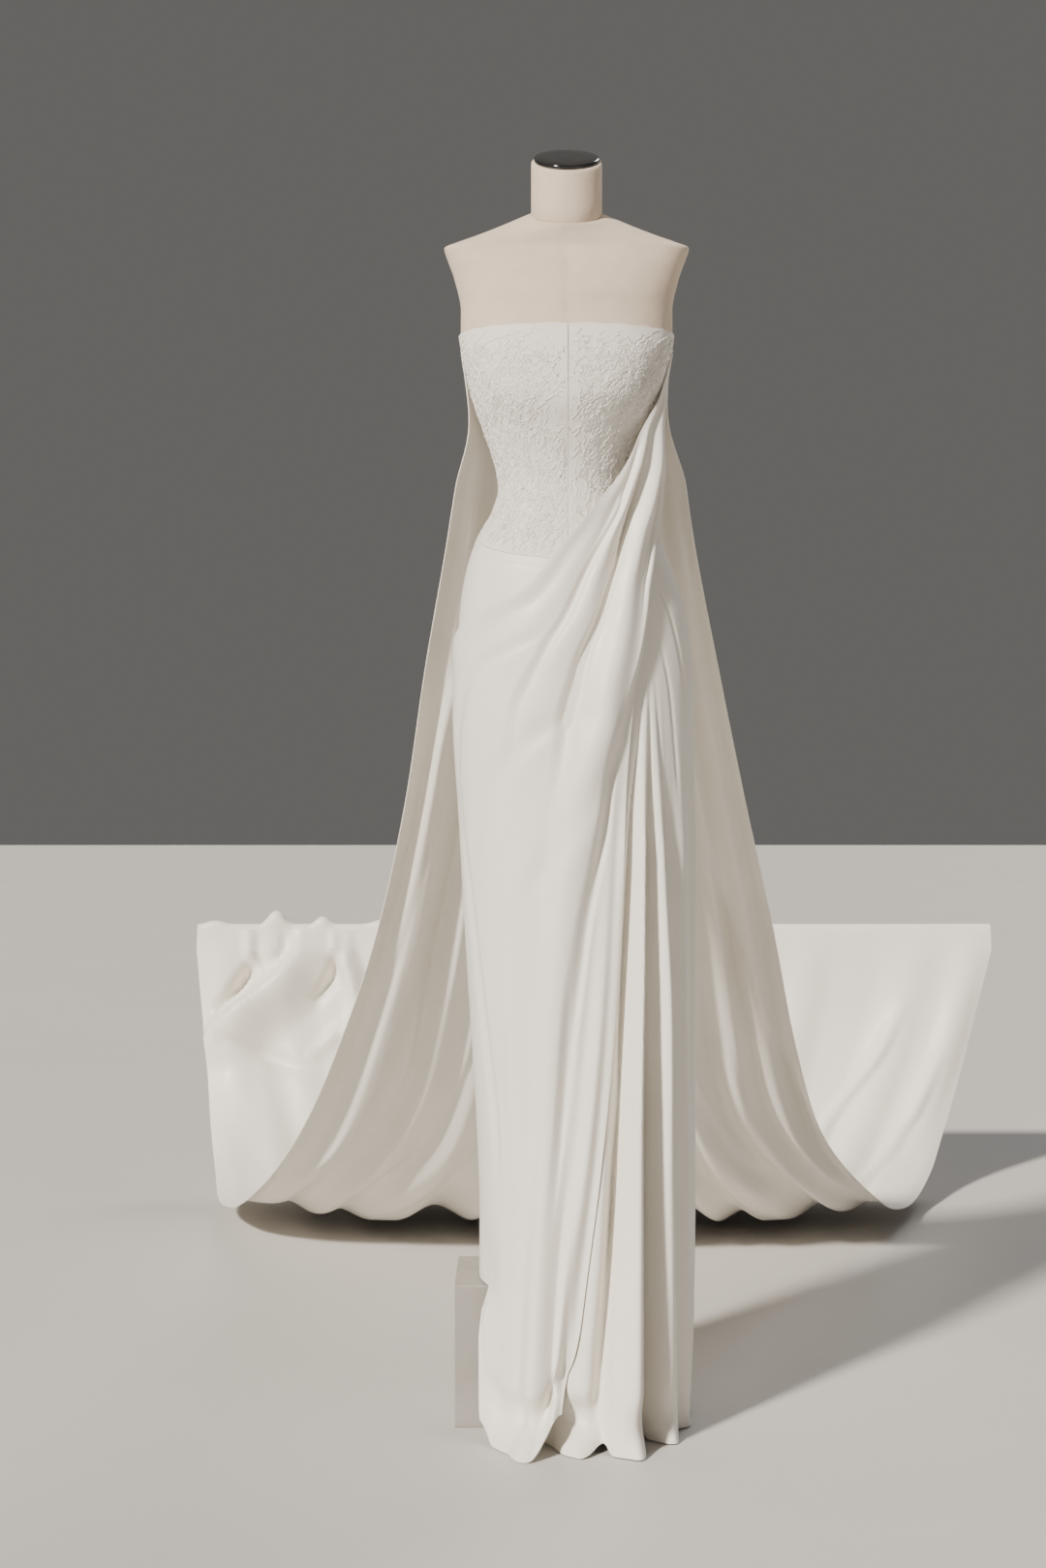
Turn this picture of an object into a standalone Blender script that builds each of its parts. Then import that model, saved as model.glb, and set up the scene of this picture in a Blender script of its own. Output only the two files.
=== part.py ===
"""Strapless sheath gown with a long train, standing on a limbless dress form.

Metres, +Z up. The origin is on the floor under the form's pole, the front looks along -Y and the
wearer's left is +X. Angles run round the pole in degrees: 0 is the front, 90 the wearer's left,
180 the back and -90 the wearer's right.
"""
import math

import bmesh
import bpy
from mathutils import Vector

GAP = 0.0003                    # between touching pieces
SEAM_GAP = 0.0004               # between two panels along a seam
WAIST_SEAM_GAP = 0.0006         # between the bodice and the skirt, whose rims slant
FLOOR_CLEAR = 0.002             # hems end this far above the floor

# Cloth walls
BODICE_WALL = 0.0020            # lace, net and the boned corset together
SKIRT_WALL = 0.0015
DRAPE_WALL = 0.0016
TRAIN_WALL = 0.0016

# Garment levels
NECKLINE_Z = 1.602
SIDE_SEAM = 90.0
CUP_ANGLE = 38.0                # middle of each soft cup, its reach to each side and its height
CUP_SIDE_REACH = 36.0
CUP_Z = 1.528
CUP_UP_REACH = 0.085
CUP_HEIGHT = 0.006

# Box under the form
BOX_RIGHT_X = -0.165            # on the wearer's right, where it shows beside the skirt
BOX_LEFT_X = 0.135
BOX_FRONT = -0.100
BOX_BACK = 0.100
BOX_HEIGHT = 0.206
BOX_EDGE = 0.0015
HEM_OVER_BOX = BOX_HEIGHT + 0.003
HEM_SHIFT_TOP = 0.450           # the rows of a panel crowd together below this height
HEM_PLAN_Z = 0.180              # where a panel's plan says whether it hangs over the box
SKIRT_BOX_MARGIN = 0.007
DRAPE_BOX_MARGIN = 0.019

# Dress form
POLE_RADIUS = 0.019
FLANGE_RADIUS = 0.055
FLANGE_HEIGHT = 0.012
FORM_BOTTOM_Z = 0.930
NECK_RADIUS = 0.053
NECK_TOP_Z = 1.866
NECK_SLANT = 0.028              # the neck's rim is this much lower in front and higher behind
NECK_RIM = 0.004
CAP_THICKNESS = 0.006

# Rail that holds the train's far end
RAIL_Y = 1.948
RAIL_Z = 0.585
RAIL_RADIUS = 0.012
RAIL_LEFT = -0.800
RAIL_RIGHT = 1.030
POST_RADIUS = 0.009
POST_XS = (-0.560, 0.800)
FOOT_SIZE = (0.040, 0.300, 0.012)

# The gown's plain outside on the figure. The four sizes are its reach from the pole's axis, and
# corner is the exponent of the ring's superellipse: 2 is an ellipse, more is squarer.
FIGURE_COLUMNS = ("z", "left", "right", "front", "back", "corner")
FIGURE = (
    (0.000, 0.129, 0.172, 0.178, 0.150, 2.60),
    (0.150, 0.127, 0.178, 0.172, 0.147, 2.50),
    (0.295, 0.126, 0.182, 0.165, 0.144, 2.40),
    (0.440, 0.131, 0.184, 0.158, 0.142, 2.30),
    (0.585, 0.140, 0.186, 0.151, 0.140, 2.20),
    (0.730, 0.149, 0.188, 0.145, 0.139, 2.15),
    (0.875, 0.157, 0.190, 0.139, 0.139, 2.10),
    (1.060, 0.166, 0.190, 0.131, 0.139, 2.05),
    (1.180, 0.161, 0.180, 0.121, 0.131, 2.00),
    (1.240, 0.153, 0.163, 0.114, 0.119, 2.00),
    (1.300, 0.135, 0.138, 0.102, 0.101, 2.00),
    (1.340, 0.111, 0.112, 0.093, 0.088, 2.00),
    (1.375, 0.1015, 0.1025, 0.090, 0.084, 2.00),
    (1.410, 0.107, 0.108, 0.096, 0.088, 2.05),
    (1.450, 0.120, 0.121, 0.110, 0.097, 2.10),
    (1.500, 0.138, 0.139, 0.127, 0.106, 2.15),
    (1.550, 0.151, 0.151, 0.124, 0.106, 2.20),
    (1.602, 0.161, 0.161, 0.104, 0.100, 2.20),
    (1.650, 0.163, 0.165, 0.084, 0.094, 2.20),
)

# The drape spans the hollow of the waist on the wearer's left, so its rings are fuller there.
DRAPE_COLUMNS = ("z", "left", "right", "front", "back", "corner")
DRAPE = (
    (0.000, 0.132, 0.190, 0.226, 0.160, 2.80),
    (0.150, 0.131, 0.190, 0.205, 0.158, 2.60),
    (0.295, 0.130, 0.190, 0.190, 0.156, 2.50),
    (0.440, 0.135, 0.191, 0.178, 0.152, 2.40),
    (0.585, 0.144, 0.193, 0.168, 0.148, 2.30),
    (0.730, 0.153, 0.195, 0.159, 0.146, 2.20),
    (0.875, 0.161, 0.197, 0.150, 0.146, 2.15),
    (1.060, 0.171, 0.196, 0.140, 0.146, 2.10),
    (1.180, 0.165, 0.186, 0.129, 0.138, 2.05),
    (1.240, 0.157, 0.174, 0.122, 0.126, 2.00),
    (1.300, 0.140, 0.160, 0.114, 0.112, 2.00),
    (1.375, 0.112, 0.156, 0.113, 0.098, 2.00),
    (1.450, 0.125, 0.161, 0.123, 0.104, 2.05),
    (1.500, 0.143, 0.163, 0.133, 0.112, 2.10),
    (1.550, 0.155, 0.164, 0.130, 0.112, 2.15),
    (1.602, 0.165, 0.166, 0.110, 0.106, 2.20),
)

# The dress form's own sections, from the hidden bottom to the neck's base.
FORM_COLUMNS = ("z", "half", "front", "back", "corner")
FORM_CLEAR = 0.0056             # the form lies this far inside the gown's outside
FORM_CLEAR_TOP = 0.0027         # and closer where the neckline holds on to it
FORM = (
    (1.640, 0.158, 0.086, 0.092, 2.20),
    (1.690, 0.168, 0.070, 0.081, 2.30),
    (1.718, 0.178, 0.058, 0.070, 2.50),
    (1.733, 0.183, 0.051, 0.062, 2.60),
    (1.740, 0.166, 0.048, 0.059, 2.50),
    (1.750, 0.133, 0.047, 0.058, 2.30),
    (1.760, 0.100, 0.050, 0.058, 2.20),
    (1.769, 0.074, 0.054, 0.057, 2.05),
    (1.775, 0.058, 0.055, 0.055, 2.00),
)

# Cone folds of the skirt on the wearer's left: where each runs, at the hip and at the hem.
SKIRT_FOLD_COLUMNS = ("hip_angle", "hem_angle", "hip_width", "hem_width", "hip_height", "hem_height")
SKIRT_FOLDS = (
    (33.0, 2.5, 3.5, 15.0, 0.004, 0.046),
    (38.0, 17.5, 3.5, 14.5, 0.006, 0.082),
    (43.0, 44.0, 4.0, 14.0, 0.006, 0.032),
    (58.0, 66.0, 8.0, 13.0, 0.004, 0.018),
    (76.0, 88.0, 8.0, 13.0, 0.003, 0.014),
    (98.0, 112.0, 9.0, 14.0, 0.002, 0.018),
    (122.0, 136.0, 10.0, 14.0, 0.001, 0.012),
)
SKIRT_FOLD_TOP = 1.14
SKIRT_FOLD_TURN = 0.8           # below 1 the cones turn forward mostly near the hip
SKIRT_FOLD_SWELL = 1.6          # above 1 they widen and stand out mostly near the hem
SKIRT_FOLD_START = 6.0          # how fast they begin under their top
SKIRT_ROW_POWER = 1.35          # rows lie closer over the hip than near the hem
BACK_FOLDS = (
    (150.0, 158.0, 9.0, 13.0, 0.001, 0.010),
    (172.0, 182.0, 9.0, 13.0, 0.001, 0.011),
    (196.0, 207.0, 9.0, 12.0, 0.001, 0.008),
)

# Seam between bodice and skirt: it dips towards the centre front.
WAIST_SEAM_COLUMNS = ("angle", "z")
WAIST_SEAM = (
    (-180.0, 1.330),
    (-90.0, 1.305),
    (-50.0, 1.278),
    (-20.0, 1.264),
    (0.0, 1.260),
    (20.0, 1.264),
    (50.0, 1.278),
    (90.0, 1.305),
    (180.0, 1.330),
)

# The drape is sewn to the skirt along the last part of its outer edge.
DRAPE_CLEAR = 0.0009
DRAPE_SEWN_DROP = 0.47
DRAPE_SEWN_WIDTH = 0.08
DRAPE_SEWN_BLEND = 0.05         # it comes down on the skirt over this much drop
GATHER_DROP = 0.13              # and the gather leaves the bodice over this much

# The drape's long edges, from the gather under the arm. drop runs 0 at the gather to 1 at the
# hem. The outer edge wraps the wearer's right hip and goes down that side seam. Below the hip a
# crease leaves the free edge, and the cloth between the two stands out as one fold.
DRAPE_EDGE_COLUMNS = ("drop", "outer_angle", "outer_z", "crease_angle", "free_angle", "free_z")
DRAPE_EDGES = (
    (0.000, 83.0, 1.575, 88.0, 88.0, 1.568),
    (0.040, 69.0, 1.515, 83.0, 83.0, 1.520),
    (0.090, 44.0, 1.448, 74.0, 74.0, 1.440),
    (0.150, 28.0, 1.382, 65.0, 65.0, 1.350),
    (0.210, 13.0, 1.334, 51.5, 51.5, 1.275),
    (0.260, -5.0, 1.275, 41.0, 41.0, 1.205),
    (0.310, -25.0, 1.214, 34.0, 34.5, 1.130),
    (0.370, -58.0, 1.178, 26.0, 27.5, 1.045),
    (0.430, -90.0, 1.120, 20.5, 24.5, 0.960),
    (0.500, -99.0, 0.990, 14.5, 22.5, 0.850),
    (0.580, -101.0, 0.830, 9.0, 20.5, 0.725),
    (0.680, -101.0, 0.620, 4.0, 16.0, 0.560),
    (0.780, -100.0, 0.430, 0.0, 10.5, 0.400),
    (0.880, -99.0, 0.240, -5.0, 4.0, 0.220),
    (1.000, -98.0, 0.000, -8.0, -2.0, 0.000),
)
FREE_FOLD_HEIGHT = 0.013
FREE_FOLD_GROWTH = 0.30         # it reaches that height this much drop below the sewn part's start

# Folds of the drape: across runs 0 at the outer edge to 1 at the crease.
DRAPE_FOLD_COLUMNS = (
    "top_across", "low_across", "top_width", "low_width", "height", "start", "peak", "end")
DRAPE_FOLDS = (
    (0.52, 0.90, 0.260, 0.110, 0.0170, -0.10, 0.18, 1.40),
    (0.12, 0.66, 0.140, 0.110, 0.0100, -0.02, 0.17, 0.50),
    (0.00, 0.36, 0.100, 0.150, 0.0035, 0.04, 0.20, 0.52),
    (0.92, 0.92, 0.130, 0.130, 0.0180, 0.70, 1.00, 1.60),
)
DRAPE_FOLD_TOP = 0.08           # the folds move over the cloth between these drops
DRAPE_FOLD_LOW = 0.40
CORNER_LIFT = 0.055             # the hem's free corner curls up off the floor
CORNER_REACH = 0.12
CORNER_DROP = 0.90
FREE_TUCK = 0.06                # the free edge turns back to the skirt over this much across
FREE_TUCK_SHARE = 0.75
FREE_TUCK_CLEAR = 0.0045
FREE_TUCK_BLEND = 0.10          # over this much drop from where the folds have moved

# Side profile of the train and its two outer edges, from the back neckline to behind the rail.
# forward and lift move the edges: towards the front and up from the middle.
TRAIN_COLUMNS = ("run", "y", "z", "left", "right", "forward", "lift", "fold")
TRAIN = (
    (0.000, 0.114, 1.585, -0.148, 0.152, 0.088, -0.005, 0.0015),
    (0.050, 0.128, 1.480, -0.155, 0.170, 0.082, 0.000, 0.0035),
    (0.130, 0.170, 1.330, -0.178, 0.194, 0.075, 0.000, 0.0080),
    (0.230, 0.265, 1.120, -0.220, 0.245, 0.055, 0.000, 0.0150),
    (0.330, 0.385, 0.905, -0.259, 0.302, 0.040, 0.000, 0.0210),
    (0.430, 0.530, 0.672, -0.318, 0.368, 0.030, 0.000, 0.0270),
    (0.520, 0.690, 0.460, -0.395, 0.425, 0.020, 0.004, 0.0320),
    (0.600, 0.860, 0.262, -0.485, 0.498, 0.000, 0.010, 0.0340),
    (0.670, 1.030, 0.112, -0.585, 0.612, -0.010, 0.014, 0.0330),
    (0.730, 1.210, 0.032, -0.665, 0.705, -0.020, 0.016, 0.0300),
    (0.790, 1.420, 0.008, -0.722, 0.780, -0.020, 0.020, 0.0260),
    (0.840, 1.610, 0.036, -0.752, 0.845, 0.000, 0.022, 0.0240),
    (0.885, 1.760, 0.125, -0.783, 0.905, 0.000, 0.012, 0.0220),
    (0.920, 1.860, 0.265, -0.806, 0.965, 0.000, 0.004, 0.0190),
    (0.950, 1.912, 0.420, -0.828, 1.015, 0.000, 0.000, 0.0130),
    (0.972, 1.930, 0.540, -0.842, 1.050, 0.000, 0.000, 0.0060),
)
TRAIN_SEAM = 0.02               # X of the seam between the two panels at the top
TRAIN_SEAM_END = 0.10           # and at the rail
TRAIN_TAIL = 0.075              # hangs down behind the rail
TRAIN_CLEAR = 0.0008            # from the bodice where the train is sewn on
TRAIN_LEAN = 0.15               # and the cloth leans away from it at once, per unit of run
TRAIN_SEWN_RUN = 0.10           # the train has left the bodice after this much of its run
TRAIN_EDGE_ANGLE = 101.0        # where its outer edges are sewn on, under the arms
TRAIN_FOLD_BLEND = 0.12         # a fold has its height this much run below its start
TRAIN_FLOOR_RUN = 0.54          # the folds turn outward over the floor, from here on
TRAIN_FLOOR_REACH = 0.20
TRAIN_RISE_RUN = 0.84           # and once more where the cloth rises to the rail
TRAIN_RISE_REACH = 0.12
TRAIN_FOLD_COLUMNS = ("across", "reach", "height", "start", "drift")
TRAIN_FOLDS_RIGHT = (
    (0.070, 0.093, 0.95, 0.02, 0.02),
    (0.290, 0.105, 1.10, 0.00, 0.13),
    (0.470, 0.083, 0.70, 0.16, 0.17),
    (0.670, 0.117, 1.15, 0.02, 0.11),
    (0.880, 0.093, 0.80, 0.10, 0.15),
)
TRAIN_FOLDS_LEFT = (
    (0.055, 0.075, 0.80, 0.04, 0.01),
    (0.220, 0.083, 0.95, 0.00, 0.10),
    (0.420, 0.113, 1.15, 0.06, 0.16),
    (0.640, 0.083, 0.75, 0.14, 0.12),
    (0.860, 0.105, 1.05, 0.00, 0.17),
)


def clear_scene():
    for item in list(bpy.data.objects):
        bpy.data.objects.remove(item, do_unlink=True)


def surface(name, colour, roughness, metallic=0.0):
    """A Principled material in one colour."""
    material = bpy.data.materials.new(name)
    material.use_nodes = True
    shader = material.node_tree.nodes["Principled BSDF"]
    shader.inputs["Base Color"].default_value = (*colour, 1.0)
    shader.inputs["Roughness"].default_value = roughness
    shader.inputs["Metallic"].default_value = metallic
    material.diffuse_color = (*colour, 1.0)
    return material


def read_row(table, columns, at):
    """The table's row at a value of its first column, on a smooth curve through its rows."""
    keys = [row[0] for row in table]
    at = min(max(at, keys[0]), keys[-1])
    low = max(i for i in range(len(keys) - 1) if keys[i] <= at)
    span = keys[low + 1] - keys[low]
    part = (at - keys[low]) / span
    values = {columns[0]: at}
    for column in range(1, len(columns)):
        start, end = table[low][column], table[low + 1][column]
        start_slope = row_slope(table, low, column) * span
        end_slope = row_slope(table, low + 1, column) * span
        values[columns[column]] = (
            (2 * part ** 3 - 3 * part ** 2 + 1) * start
            + (part ** 3 - 2 * part ** 2 + part) * start_slope
            + (3 * part ** 2 - 2 * part ** 3) * end
            + (part ** 3 - part ** 2) * end_slope)
    return values


def row_slope(table, index, column):
    """Slope through one row, levelled off where the column turns, so that it never overshoots."""
    if index in (0, len(table) - 1):
        return 0.0 if index == 0 else steepness(table, index - 1, column)
    before = steepness(table, index - 1, column)
    after = steepness(table, index, column)
    if before * after <= 0.0:
        return 0.0
    return 2.0 * before * after / (before + after)


def steepness(table, index, column):
    rise = table[index + 1][column] - table[index][column]
    return rise / (table[index + 1][0] - table[index][0])


def ease(part):
    part = min(max(part, 0.0), 1.0)
    return part * part * (3.0 - 2.0 * part)


def bump(distance, width):
    """A soft ridge: 1 on its crest and 0 from its width on."""
    if abs(distance) >= width:
        return 0.0
    return 0.5 + 0.5 * math.cos(math.pi * distance / width)


def ring_point(sizes, angle, out):
    """A point of a ring in plan, moved out along the ring's own normal."""
    side, ahead = math.sin(math.radians(angle)), math.cos(math.radians(angle))
    half_width = sizes["right"] if side >= 0.0 else sizes["left"]
    depth = sizes["front"] if ahead >= 0.0 else sizes["back"]
    power = 2.0 / sizes["corner"]
    x = math.copysign(abs(side) ** power, side)
    y = -math.copysign(abs(ahead) ** power, ahead)
    normal_x = math.copysign(abs(side) ** (2.0 - power), side) / half_width
    normal_y = -math.copysign(abs(ahead) ** (2.0 - power), ahead) / depth
    length = math.hypot(normal_x, normal_y)
    return x * half_width + out * normal_x / length, y * depth + out * normal_y / length


def figure_point(angle, z, out=0.0):
    """A point of the gown's plain outside, with the two soft cups of the bodice."""
    cup = bump(abs(wrapped(angle)) - CUP_ANGLE, CUP_SIDE_REACH) * bump(z - CUP_Z, CUP_UP_REACH)
    x, y = ring_point(read_row(FIGURE, FIGURE_COLUMNS, z), angle, out + CUP_HEIGHT * cup)
    return Vector((x, y, z))


def wrapped(angle):
    """The same angle between -180 and 180."""
    return (angle + 180.0) % 360.0 - 180.0


def waist_seam_z(angle):
    return read_row(WAIST_SEAM, WAIST_SEAM_COLUMNS, wrapped(angle))["z"]


def hem_z(table, columns, angle, margin):
    """Height of a panel's hem: just off the floor, or just off the box where it hangs over it."""
    x, y = ring_point(read_row(table, columns, HEM_PLAN_Z), angle, 0.0)
    beside = x < BOX_RIGHT_X - margin or x > BOX_LEFT_X + margin
    if beside or y < BOX_FRONT - margin or y > BOX_BACK + margin:
        return FLOOR_CLEAR
    return HEM_OVER_BOX


def above_hem(z, hem):
    """A height on a panel that reaches the floor, moved up near a hem that ends higher."""
    return z + hem * max(0.0, 1.0 - z / HEM_SHIFT_TOP)


def skirt_out(angle, z):
    """How far the cone folds stand out of the skirt's plain ring."""
    fall = ease((SKIRT_FOLD_TOP - z) / SKIRT_FOLD_TOP)
    drop = min(max((SKIRT_FOLD_TOP - z) / SKIRT_FOLD_TOP, 0.0), 1.0)
    out = 0.0
    for row in SKIRT_FOLDS + BACK_FOLDS:
        fold = dict(zip(SKIRT_FOLD_COLUMNS, row))
        middle = fold["hip_angle"] + (fold["hem_angle"] - fold["hip_angle"]) * drop ** SKIRT_FOLD_TURN
        swell = drop ** SKIRT_FOLD_SWELL
        width = fold["hip_width"] + (fold["hem_width"] - fold["hip_width"]) * swell
        height = fold["hip_height"] + (fold["hem_height"] - fold["hip_height"]) * swell
        away = wrapped(angle - middle)
        out += height * min(1.0, SKIRT_FOLD_START * fall) * bump(away, width)
    return out


def skirt_point(angle, z):
    return figure_point(angle, z, skirt_out(angle, z))


def drape_point(across, drop):
    """A point of the drape's outside, between its two long edges."""
    edge = read_row(DRAPE_EDGES, DRAPE_EDGE_COLUMNS, drop)
    reach = edge["free_angle"] - edge["outer_angle"]
    angle = edge["outer_angle"] + reach * across
    z = edge["outer_z"] + (edge["free_z"] - edge["outer_z"]) * across
    z = above_hem(z, hem_z(DRAPE, DRAPE_COLUMNS, angle, DRAPE_BOX_MARGIN))
    curled = ease((drop - CORNER_DROP) / (1.0 - CORNER_DROP))
    z += CORNER_LIFT * curled * bump(1.0 - across, CORNER_REACH)
    crease = (edge["crease_angle"] - edge["outer_angle"]) / reach
    moved = min(max((drop - DRAPE_FOLD_TOP) / (DRAPE_FOLD_LOW - DRAPE_FOLD_TOP), 0.0), 1.0)
    out = 0.0
    for row in DRAPE_FOLDS:
        fold = dict(zip(DRAPE_FOLD_COLUMNS, row))
        if drop < fold["peak"]:
            along = ease((drop - fold["start"]) / (fold["peak"] - fold["start"]))
        else:
            along = ease((fold["end"] - drop) / (fold["end"] - fold["peak"]))
        middle = fold["top_across"] + (fold["low_across"] - fold["top_across"]) * moved
        width = fold["top_width"] + (fold["low_width"] - fold["top_width"]) * moved
        out += fold["height"] * along * bump(across - middle * crease, width)
    grown = ease((drop - DRAPE_SEWN_DROP) / FREE_FOLD_GROWTH)
    out += FREE_FOLD_HEIGHT * grown * bump(across - (crease + 1.0) / 2.0, (1.0 - crease) / 2.0)
    x, y = ring_point(read_row(DRAPE, DRAPE_COLUMNS, z), angle, out)
    sewn = figure_point(angle, z, DRAPE_WALL + DRAPE_CLEAR)
    hold = bump(across, DRAPE_SEWN_WIDTH) * ease((drop - DRAPE_SEWN_DROP) / DRAPE_SEWN_BLEND)
    hold = max(hold, 1.0 - ease(drop / GATHER_DROP))
    tucked = figure_point(angle, z, skirt_out(angle, z) + DRAPE_WALL + FREE_TUCK_CLEAR)
    tuck = bump(1.0 - across, FREE_TUCK) * ease((drop - DRAPE_FOLD_LOW) / FREE_TUCK_BLEND)
    return Vector((x, y, z)).lerp(sewn, hold).lerp(tucked, FREE_TUCK_SHARE * tuck)


def train_point(across, run, folds, is_left):
    """A point of one train panel: across runs from the panel's outer edge to the back seam."""
    row = read_row(TRAIN, TRAIN_COLUMNS, run)
    seam_x = TRAIN_SEAM + (TRAIN_SEAM_END - TRAIN_SEAM) * ease(run)
    edge_x = row["right"] if is_left else row["left"]
    bow = (1.0 - across) ** 2
    free = Vector((
        edge_x + (seam_x - edge_x) * across,
        row["y"] - row["forward"] * bow,
        row["z"] + row["lift"] * bow))
    edge_angle = TRAIN_EDGE_ANGLE if is_left else 360.0 - TRAIN_EDGE_ANGLE
    angle = edge_angle + (180.0 - edge_angle) * across
    sewn = figure_point(angle, row["z"], TRAIN_CLEAR + run * TRAIN_LEAN)
    point = free.lerp(sewn, 1.0 - ease(run / TRAIN_SEWN_RUN))
    ahead = read_row(TRAIN, TRAIN_COLUMNS, run + 0.01)
    behind = read_row(TRAIN, TRAIN_COLUMNS, run - 0.01)
    slope = Vector((0.0, ahead["y"] - behind["y"], ahead["z"] - behind["z"])).normalized()
    into_hollow = Vector((0.0, -slope.z, slope.y))
    floor_share = ease((run - TRAIN_FLOOR_RUN) / TRAIN_FLOOR_REACH)
    rise_share = ease((run - TRAIN_RISE_RUN) / TRAIN_RISE_REACH)
    stand = 0.0
    for fold_row in folds:
        fold = dict(zip(TRAIN_FOLD_COLUMNS, fold_row))
        grown = ease((run - fold["start"]) / TRAIN_FOLD_BLEND)
        middle = fold["across"] - fold["drift"] * (floor_share + 0.5 * rise_share)
        stand += fold["height"] * grown * bump(across - middle, fold["reach"])
    return point + into_hollow * (row["fold"] * stand)


def grid_normals(grid):
    """Unit normals of a grid of points, from the steps to its neighbours."""
    rows, columns = len(grid), len(grid[0])
    normals = []
    for i in range(rows):
        line = []
        for j in range(columns):
            down = grid[min(i + 1, rows - 1)][j] - grid[max(i - 1, 0)][j]
            side = grid[i][min(j + 1, columns - 1)] - grid[i][max(j - 1, 0)]
            line.append(side.cross(down).normalized())
        normals.append(line)
    return normals


def add_object(name, mesh_builder, material, smooth=True):
    mesh = bpy.data.meshes.new(name)
    mesh_builder.to_mesh(mesh)
    mesh_builder.free()
    mesh.materials.append(material)
    if smooth:
        mesh.shade_smooth()
    item = bpy.data.objects.new(name, mesh)
    bpy.context.scene.collection.objects.link(item)
    return item


def cloth_wall(name, outside, thickness, material, side=1.0, normals=None):
    """A closed wall: a grid, the same grid moved along its normals, and its four rims."""
    normals = normals or grid_normals(outside)
    rows, columns = len(outside), len(outside[0])
    builder = bmesh.new()
    outer = [[builder.verts.new(point) for point in line] for line in outside]
    inner = []
    for line, normal_line in zip(outside, normals):
        inner.append([
            builder.verts.new(point + normal * (side * thickness))
            for point, normal in zip(line, normal_line)])
    for i in range(rows - 1):
        for j in range(columns - 1):
            builder.faces.new((outer[i][j], outer[i + 1][j], outer[i + 1][j + 1], outer[i][j + 1]))
            builder.faces.new((inner[i][j], inner[i][j + 1], inner[i + 1][j + 1], inner[i + 1][j]))
    for i in range(rows - 1):
        builder.faces.new((outer[i][0], inner[i][0], inner[i + 1][0], outer[i + 1][0]))
        builder.faces.new((outer[i][-1], outer[i + 1][-1], inner[i + 1][-1], inner[i][-1]))
    for j in range(columns - 1):
        builder.faces.new((outer[0][j], outer[0][j + 1], inner[0][j + 1], inner[0][j]))
        builder.faces.new((outer[-1][j], inner[-1][j], inner[-1][j + 1], outer[-1][j + 1]))
    bmesh.ops.triangulate(builder, faces=builder.faces)
    bmesh.ops.recalc_face_normals(builder, faces=builder.faces)
    return add_object(name, builder, material)


def steps(start, end, count):
    return [start + (end - start) * index / count for index in range(count + 1)]


def surface_normal(point_at, angle, z, reach=0.001):
    """The normal that points into the garment, from the surface itself."""
    turn = math.degrees(reach / 0.15)
    side = point_at(angle + turn, z) - point_at(angle - turn, z)
    down = point_at(angle, z - reach) - point_at(angle, z + reach)
    return side.cross(down).normalized()


def bodice_panel(name, start, end, columns, rows, material):
    """One panel of the bodice between two seams, from the waist seam to the neckline."""
    half_gap = math.degrees(SEAM_GAP / 2.0 / 0.12)
    grid, normals = [], []
    for part in steps(1.0, 0.0, rows):
        line, normal_line = [], []
        for angle in steps(start + half_gap, end - half_gap, columns):
            low = waist_seam_z(angle) + WAIST_SEAM_GAP / 2.0
            z = low + (NECKLINE_Z - low) * part
            line.append(figure_point(angle, z))
            normal_line.append(surface_normal(figure_point, angle, z))
        grid.append(line)
        normals.append(normal_line)
    return cloth_wall(name, grid, BODICE_WALL, material, normals=normals)


def skirt_panel(name, angles, rows, material):
    """One panel of the skirt between its side seams, from the waist seam to the hem."""
    grid, normals = [], []
    for part in steps(0.0, 1.0, rows):
        line, normal_line = [], []
        for angle in angles:
            top = waist_seam_z(angle) - WAIST_SEAM_GAP / 2.0
            hem = hem_z(FIGURE, FIGURE_COLUMNS, angle, SKIRT_BOX_MARGIN)
            z = above_hem(top * (1.0 - part ** SKIRT_ROW_POWER), hem)
            line.append(skirt_point(angle, z))
            normal_line.append(surface_normal(skirt_point, angle, z))
        grid.append(line)
        normals.append(normal_line)
    return cloth_wall(name, grid, SKIRT_WALL, material, normals=normals)


def front_drape(material):
    """The bias panel over the skirt.

    Its rows lie closest where the outer edge wraps the hip, its columns near the free edge.
    """
    columns = steps(0.0, 0.70, 15) + steps(0.735, 1.0, 12)
    grid = []
    for drop in steps(0.0, 0.24, 6) + steps(0.27, 0.47, 9) + steps(0.53, 1.0, 7):
        grid.append([drape_point(across, drop) for across in columns])
    return cloth_wall("front_drape", grid, DRAPE_WALL, material)


def train_panel(name, folds, is_left, material, columns=22):
    """One panel of the train, laid over the rail with a short tail behind it."""
    grid = []
    for run in steps(0.0, 0.06, 2) + steps(0.12, 0.60, 6) + steps(0.66, TRAIN[-1][0], 7):
        line = [train_point(across, run, folds, is_left) for across in steps(0.0, 1.0, columns)]
        grid.append(line)
    grid += over_rail(grid[-1])
    for line in grid:
        line[-1] = line[-1] + Vector((SEAM_GAP if is_left else -SEAM_GAP, 0.0, 0.0))
    return cloth_wall(name, grid, TRAIN_WALL, material, -1.0 if is_left else 1.0)


def over_rail(front_line):
    """The rows that turn over the rail and hang behind it, from the last row in front of it."""
    turn_step = 45.0
    reach = (RAIL_RADIUS + GAP) / math.cos(math.radians(turn_step / 2.0))
    rows = []
    for turn in steps(0.0, 180.0, round(180.0 / turn_step)):
        along, up = math.cos(math.radians(turn)), math.sin(math.radians(turn))
        rows.append([
            Vector((point.x, RAIL_Y - reach * along, RAIL_Z + reach * up)) for point in front_line])
    rows.append([Vector((point.x, RAIL_Y + reach, RAIL_Z - TRAIN_TAIL)) for point in front_line])
    return rows


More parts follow.
